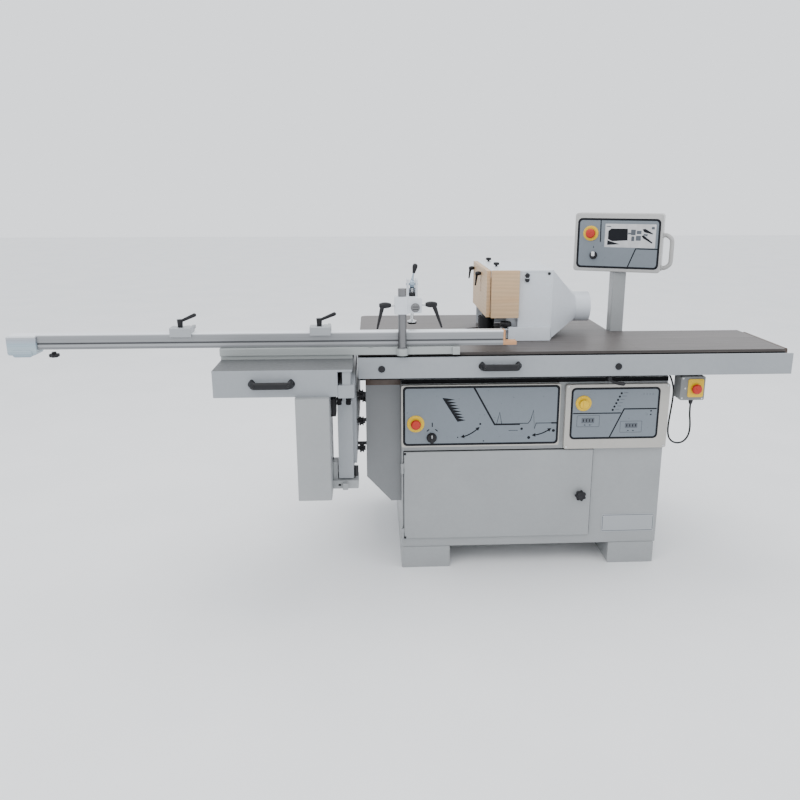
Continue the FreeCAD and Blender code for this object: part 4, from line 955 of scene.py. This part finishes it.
# ---------------------------------------------------------------- handles, knobs and levers
bridge_handle("bar_handle", 385.5, 541.5, 0, 855, 38, "front_bar_slide", replaces=("front_bar_handle",))
bridge_handle("carriage_grip", -432, -276, -176, 840, 38, "carriage", replaces=("carriage_handle",))
clamp_lever("bar_lock_grip", (881, 14, 811.4), (0, 0, -1), 20, 10, (925, -16, 785), 5.5, 7.5, "bar_lock", replaces=("front_bar_lock_lever",))
oval_lever("column_lever_grip", (62, -6, 1084), (-1, 0, 0), 43, 11, (12, -22, 1003), 7.6, 3.6, "column_lever", ("clamp_lever_column",), (24, 5))
oval_lever("arm_lever_grip", (185, -6, 1086), (1, 0, 0), 43, 11, (243, -22, 1007), 7.6, 3.6, "arm_lever", ("clamp_lever_arm",), (20.5, 5))
lobed_knob("extension_knob_star", (-1157, 38, 918), (0, 0, -1), 19, 14, "extension_knob", replaces=("extension_lock_knob",), n=6, stem=(6, 8))
lobed_knob("door_knob_star", (812, 78, 307), (0, -1, 0), 23, 20, "door_latch", replaces=("door_latch_knob",), n=7)
lobed_knob("hood_top_knob_rear", (505, 650, 1178.4), (0, 0, 1), 13, 11, "machine", replaces=("hood_hand_knobs",), n=6, stem=(6, 5))
lobed_knob("hood_top_knob_front", (505, 425, 1178.4), (0, 0, 1), 13, 11, "machine", replaces=("hood_hand_knobs",), n=6, stem=(6, 5))
lobed_knob("skirt_knob_star", (524, 262, 950.2), (0, 0, 1), 24, 20, "machine", replaces=("hood_hand_knobs",), n=6, stem=(7.8, 7))
oval_lever("side_lever_front", (443.4, 432, 1150), (-1, 0, 0), 24, 9, (424, 452, 1100), 5.5, 3.2, "machine", ("hood_hand_knobs",))
oval_lever("side_lever_rear", (443.4, 652, 1150), (-1, 0, 0), 24, 9, (424, 680, 1104), 5.5, 3.2, "machine", ("hood_hand_knobs",))
# studs of the side panel levers
k = 0
for y in (66, 800):
    for z in (738.0, 632.0, 524.0):
        k += 1
        bm = bmesh.new()
        add_lathe(bm, (-80.9, y, z), (1, 0, 0), [(8.4, 0), (8.4, 20.6), (13.5, 20.4), (15.2, 22.4), (15.6, 24), (15.2, 26), (11.6, 28.4), (11.6, 31), (15.2, 33.2), (15.6, 35), (14.8, 36.4), (9.2, 37.4), (9.0, 43), (0, 43)], 60,
                  shape=lambda t, rr, hh: 1.0 + (0.16 * math.cos(6 * t) if rr > 11 else 0.0))
        finish_mesh("rail_nut_%d" % k, bm, "black_plastic", "machine", smooth=35, replaces=("rail_lobe_nuts",))

# ---------------------------------------------------------------- hood details
H = Face((0, 262, 0))
bm = bmesh.new()
add_box(bm, 571.5, 260.6, 1171.0, 701, 262.2, 1177.6)
finish_mesh("hood_lip_front", bm, "enamel_white", "machine", bevel=0.6)
bm = bmesh.new()
for cxx, czz, rr in ((602, 1159, 9.5), (602, 1142, 9.5)):
    add_lathe(bm, (cxx, 262, czz), (0, -1, 0), [(rr, 0), (rr * 1.02, 10.0), (rr * 0.92, 14.2), (rr * 0.7, 16.0), (0, 16.4)], 36)
add_box(bm, 597, 247.4, 1142, 607, 261.5, 1159)
finish_mesh("hood_latch_grip", bm, "black_plastic", "machine", bevel=0.4)
screw("hood_screw_1", (690, 260.7, 1165), (0, -1, 0), 6.0, "machine", mat="steel_dark")
for i_, x_ in enumerate((26, 908)):
    bm = bmesh.new()
    add_lathe(bm, (x_, -0.1, 848), (0, -1, 0), [(12.7, 0), (12.9, 2.2), (11.2, 5.4), (8.0, 6.4), (0, 6.7)], 40)
    finish_mesh("bar_rod_cap_%d" % (i_ + 1), bm, "black_plastic", "front_bar_slide", smooth=40)
for i_, x_ in enumerate((-125.6, -93.0)):
    bm = bmesh.new()
    add_lathe(bm, (x_, -158, 758.8), (0, 0, 1), [(7.4, 0), (9.0, 1.4), (9.2, 12), (8.0, 13), (8.0, 15), (9.2, 16), (9.0, 26.0), (4.0, 26.6), (4.0, 28.5), (0, 28.5)], 36)
    finish_mesh("rail_wiper_%d" % (i_ + 1), bm, "rubber_and_painted_shade", "carriage", smooth=35)

# ---------------------------------------------------------------- hold-down clamp details
bm = bmesh.new()
add_lathe(bm, (102, -6, 901.6), (0, 0, 1), [(15.3, 0), (21.2, 0), (21.4, 1.2), (21.4, 24.5), (20.2, 26.4), (15.3, 26.6)], 48)
finish_mesh("column_sleeve", bm, "alu_carrier", "carriage", smooth=35)
bm = bmesh.new()
add_lathe(bm, (148, -27.6, 1078), (0, -1, 0), [(16.2, 0), (16.2, 3.2), (15.0, 4.4), (13.2, 4.6), (13.2, 14.6), (12.4, 15.6), (0, 15.8)], 44, mat=0)
for a in (-0.5, 0.5):
    add_box(bm, 148 - 10, -44.4, 1078 + a * 9 - 1.2, 148 + 10, -43.2, 1078 + a * 9 + 1.2)
for f in bm.faces:
    if f.calc_center_median().y < -43.9 and len(f.verts) == 4 and f.calc_area() < 60:
        f.material_index = 1
finish_mesh("arm_end_disc", bm, None, "clamp_arm", smooth=35, mats=["column_steel", "steel_dark"])
bm = bmesh.new()
add_box(bm, 122.4, 108.5, 1099, 161.6, 113.6, 1131)
finish_mesh("yoke_back", bm, "enamel_white", "clamp_arm", bevel=0.8)
bm = bmesh.new()
add_box(bm, 130.6, 77, 1100.4, 153.4, 88, 1117)
finish_mesh("yoke_stop_block", bm, "black_plastic", "clamp_arm", bevel=1.0)
bm = bmesh.new()
add_lathe(bm, (133.6, 88.5, 1148), (1, 0, 0), [(14.2, 0), (15, 0.8), (15, 16.2), (14.2, 17), (0, 17)], 40)
add_lathe(bm, (120, 95, 1148), (1, 0, 0), [(3.4, 0), (4, 0.6), (4, 43.4), (3.4, 44), (0, 44)], 20)
add_sweep(bm, [(141, 92, 1134), (141.5, 92.5, 1150), (143, 93.5, 1164), (146, 95, 1178), (149, 96, 1192)], [10.5, 9.6, 7.6, 5.4, 4.2], 20, squash=(1.0, 0.62))
finish_mesh("cam_blade", bm, "blue_steel", "clamp_cam", smooth=40, replaces=("clamp_eccentric",))
bm = bmesh.new()
add_lathe(bm, (148.4, 95.9, 1187), Vector((0.20, 0.02, 1)), [(4.6, 0), (5.4, 2), (6.6, 9), (8.4, 17), (9.6, 24), (9.4, 29), (7.6, 33), (4.6, 35.2), (0, 36)], 32)
finish_mesh("cam_grip", bm, "black_plastic", "clamp_cam", smooth=50, replaces=("clamp_eccentric",))
bm = bmesh.new()
add_lathe(bm, (142, 95, 1006.2), (0, 0, 1), [(16.6, 0), (17.4, 0.8), (17.4, 4.4), (16.2, 5.8), (10, 6.6), (9, 10), (6, 11), (6, 125.8), (0, 125.8)], 40)
finish_mesh("plunger_disc", bm, "steel_bright", "clamp_plunger", smooth=35, replaces=("clamp_plunger",))
bm = bmesh.new()
add_lathe(bm, (142, 95, 1000), (0, 0, 1), [(14.5, 0), (16.6, 1.4), (17, 5.6), (16.4, 6.3), (0, 6.3)], 40)
finish_mesh("plunger_pad", bm, "rubber_and_painted_shade", "clamp_plunger", smooth=35, replaces=("clamp_plunger",))

# ---------------------------------------------------------------- painted shade and shadow strips between the big parts, damper block and door pins
# black strips in the gap between the front bar and the table: painted shade in the gap
bm = bmesh.new()
add_box(bm, -55, 12.5, 879, 1558, 39.4, 884.6)
add_box(bm, -55, 33, 884, 1558, 39.4, 890)
finish_mesh("table_gap_painted_shade", bm, "rubber_and_painted_shade", "machine", bevel=0.5)
bm = bmesh.new()
add_box(bm, 101, 95.6, 767, 1139, 97.4, 784)
add_box(bm, -18, 95.2, 786, 984, 97.6, 812)
finish_mesh("table_shadow_strip", bm, "rubber_and_painted_shade", "machine", bevel=0.4)
# brown-black band along the top of the side cover: painted shadow under the table
bm = bmesh.new()
add_box(bm, -35.6, 128.6, 756, 99, 130.6, 784.6)
finish_mesh("side_cover_painted_shadow", bm, "end_brown_and_painted_shadow", "machine", bevel=0.4)
# thin black ring behind the door edges: painted shade in the door gap
bm = bmesh.new()
G2 = Face((0, 97, 0))
G2.frame_ring(bm, round_rect(107.5, 126.5, 860, 498, 3, 3), round_rect(120, 139, 847, 486, 3, 3), 0.0, 1.1)
finish_mesh("door_gap_painted_shade", bm, "rubber_and_painted_shade", "machine", smooth=30)
bm = bmesh.new()
add_box(bm, -158, -102, 699, -140, -38, 766)
finish_mesh("arm_damper", bm, "black_plastic", "carriage", bevel=1.5)
for i_, z_ in enumerate((131, 484)):
    bm = bmesh.new()
    add_lathe(bm, (114, 85.6, z_), (0, 0, 1), [(3.2, 0), (4.2, 0.8), (4.2, 7.4), (3.2, 8.2), (0, 8.2)], 20)
    finish_mesh("door_pin_%d" % (i_ + 1), bm, "black_plastic", "door", smooth=35)

# ---------------------------------------------------------------- sheet cover over the open right end of the cabinet top
bm = bmesh.new()
add_box(bm, 1001.5, 133, 779, 1104, 854, 784.6)
add_box(bm, 1001.5, 452, 784.6, 1067, 457.4, 790)
add_box(bm, 1001.5, 514.6, 784.6, 1067, 520, 790)
add_box(bm, 1061.6, 457.4, 784.6, 1067, 514.6, 790)
for sx, sy in ((1088, 160), (1088, 390), (1088, 610), (1088, 830)):
    add_lathe(bm, (sx, sy, 784.6), (0, 0, 1), [(7, 0), (7, 1.6), (6, 3.0), (3.4, 3.0), (3.2, 1.4), (0, 1.2)], 24)
finish_mesh("cabinet_top_cover", bm, "enamel", "machine", bevel=0.8)

# ---------------------------------------------------------------- plain rating plate and its rivets
bm = bmesh.new()
CF = Face((0, 97, 0))
CF.slab(bm, round_rect(911, 136, 1128, 214, 5), 0.05, 1.1, 0)
CF.frame_ring(bm, round_rect(915, 140, 1124, 210, 4), round_rect(917, 142, 1122, 208, 3), 1.0, 1.35, 1)
finish_mesh("plain_plate", bm, None, "machine", smooth=30, mats=["aluminium", "print_grey"])
for i, (x, z) in enumerate(((919, 205), (1120, 205), (919, 145), (1120, 145))):
    screw("plate_rivet_%d" % (i + 1), (x, 95.9, z), (0, -1, 0), 2.4, "machine")

# ---------------------------------------------------------------- cable of the hanging stop box
ROUTE = [(1230, 86, 676), (1230, 86, 640), (1235, 85, 605), (1237, 84, 572), (1231, 84, 542), (1213, 84, 520), (1185, 85, 515),
         (1160, 86, 529), (1150.5, 88, 556), (1151.5, 92, 588), (1157, 99, 622), (1166, 112, 656), (1175, 127, 690), (1178, 136, 727),
         (1168, 138, 762), (1150, 138, 794), (1133, 138, 826), (1125, 138, 853)]
cu = bpy.data.curves.new("stop_box_cable", "CURVE")
cu.dimensions = "3D"
sp = cu.splines.new("NURBS")
sp.points.add(len(ROUTE) - 1)
for p, q in zip(sp.points, ROUTE):
    p.co = (*W(*q), 1.0)
sp.order_u = 3
sp.use_endpoint_u = True
sp.resolution_u = 12
cu.bevel_depth = 0.0035
cu.bevel_resolution = 6
cu.use_fill_caps = True
cable = bpy.data.objects.new("stop_box_cable", cu)
bpy.context.scene.collection.objects.link(cable)
cu.materials.append(MATS["cable_black"])
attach(cable, "machine")
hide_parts("estop_cable")

# ---------------------------------------------------------------- floor
fm = NT("floor")
v = fm.coords()
fm.link(fm.ramp(fm.noise(v, 2.0, 3), [(0.3, (0.86, 0.865, 0.87)), (0.7, (0.90, 0.90, 0.905))]), fm.b.inputs["Base Color"])
fm.b.inputs["Roughness"].default_value = 0.9
me = bpy.data.meshes.new("floor")
me.from_pydata([(-14, -10, 0), (14, -10, 0), (14, 22, 0), (-14, 22, 0)], [], [(0, 1, 2, 3)])
floor = bpy.data.objects.new("floor", me)
bpy.context.scene.collection.objects.link(floor)
me.materials.append(fm.m)
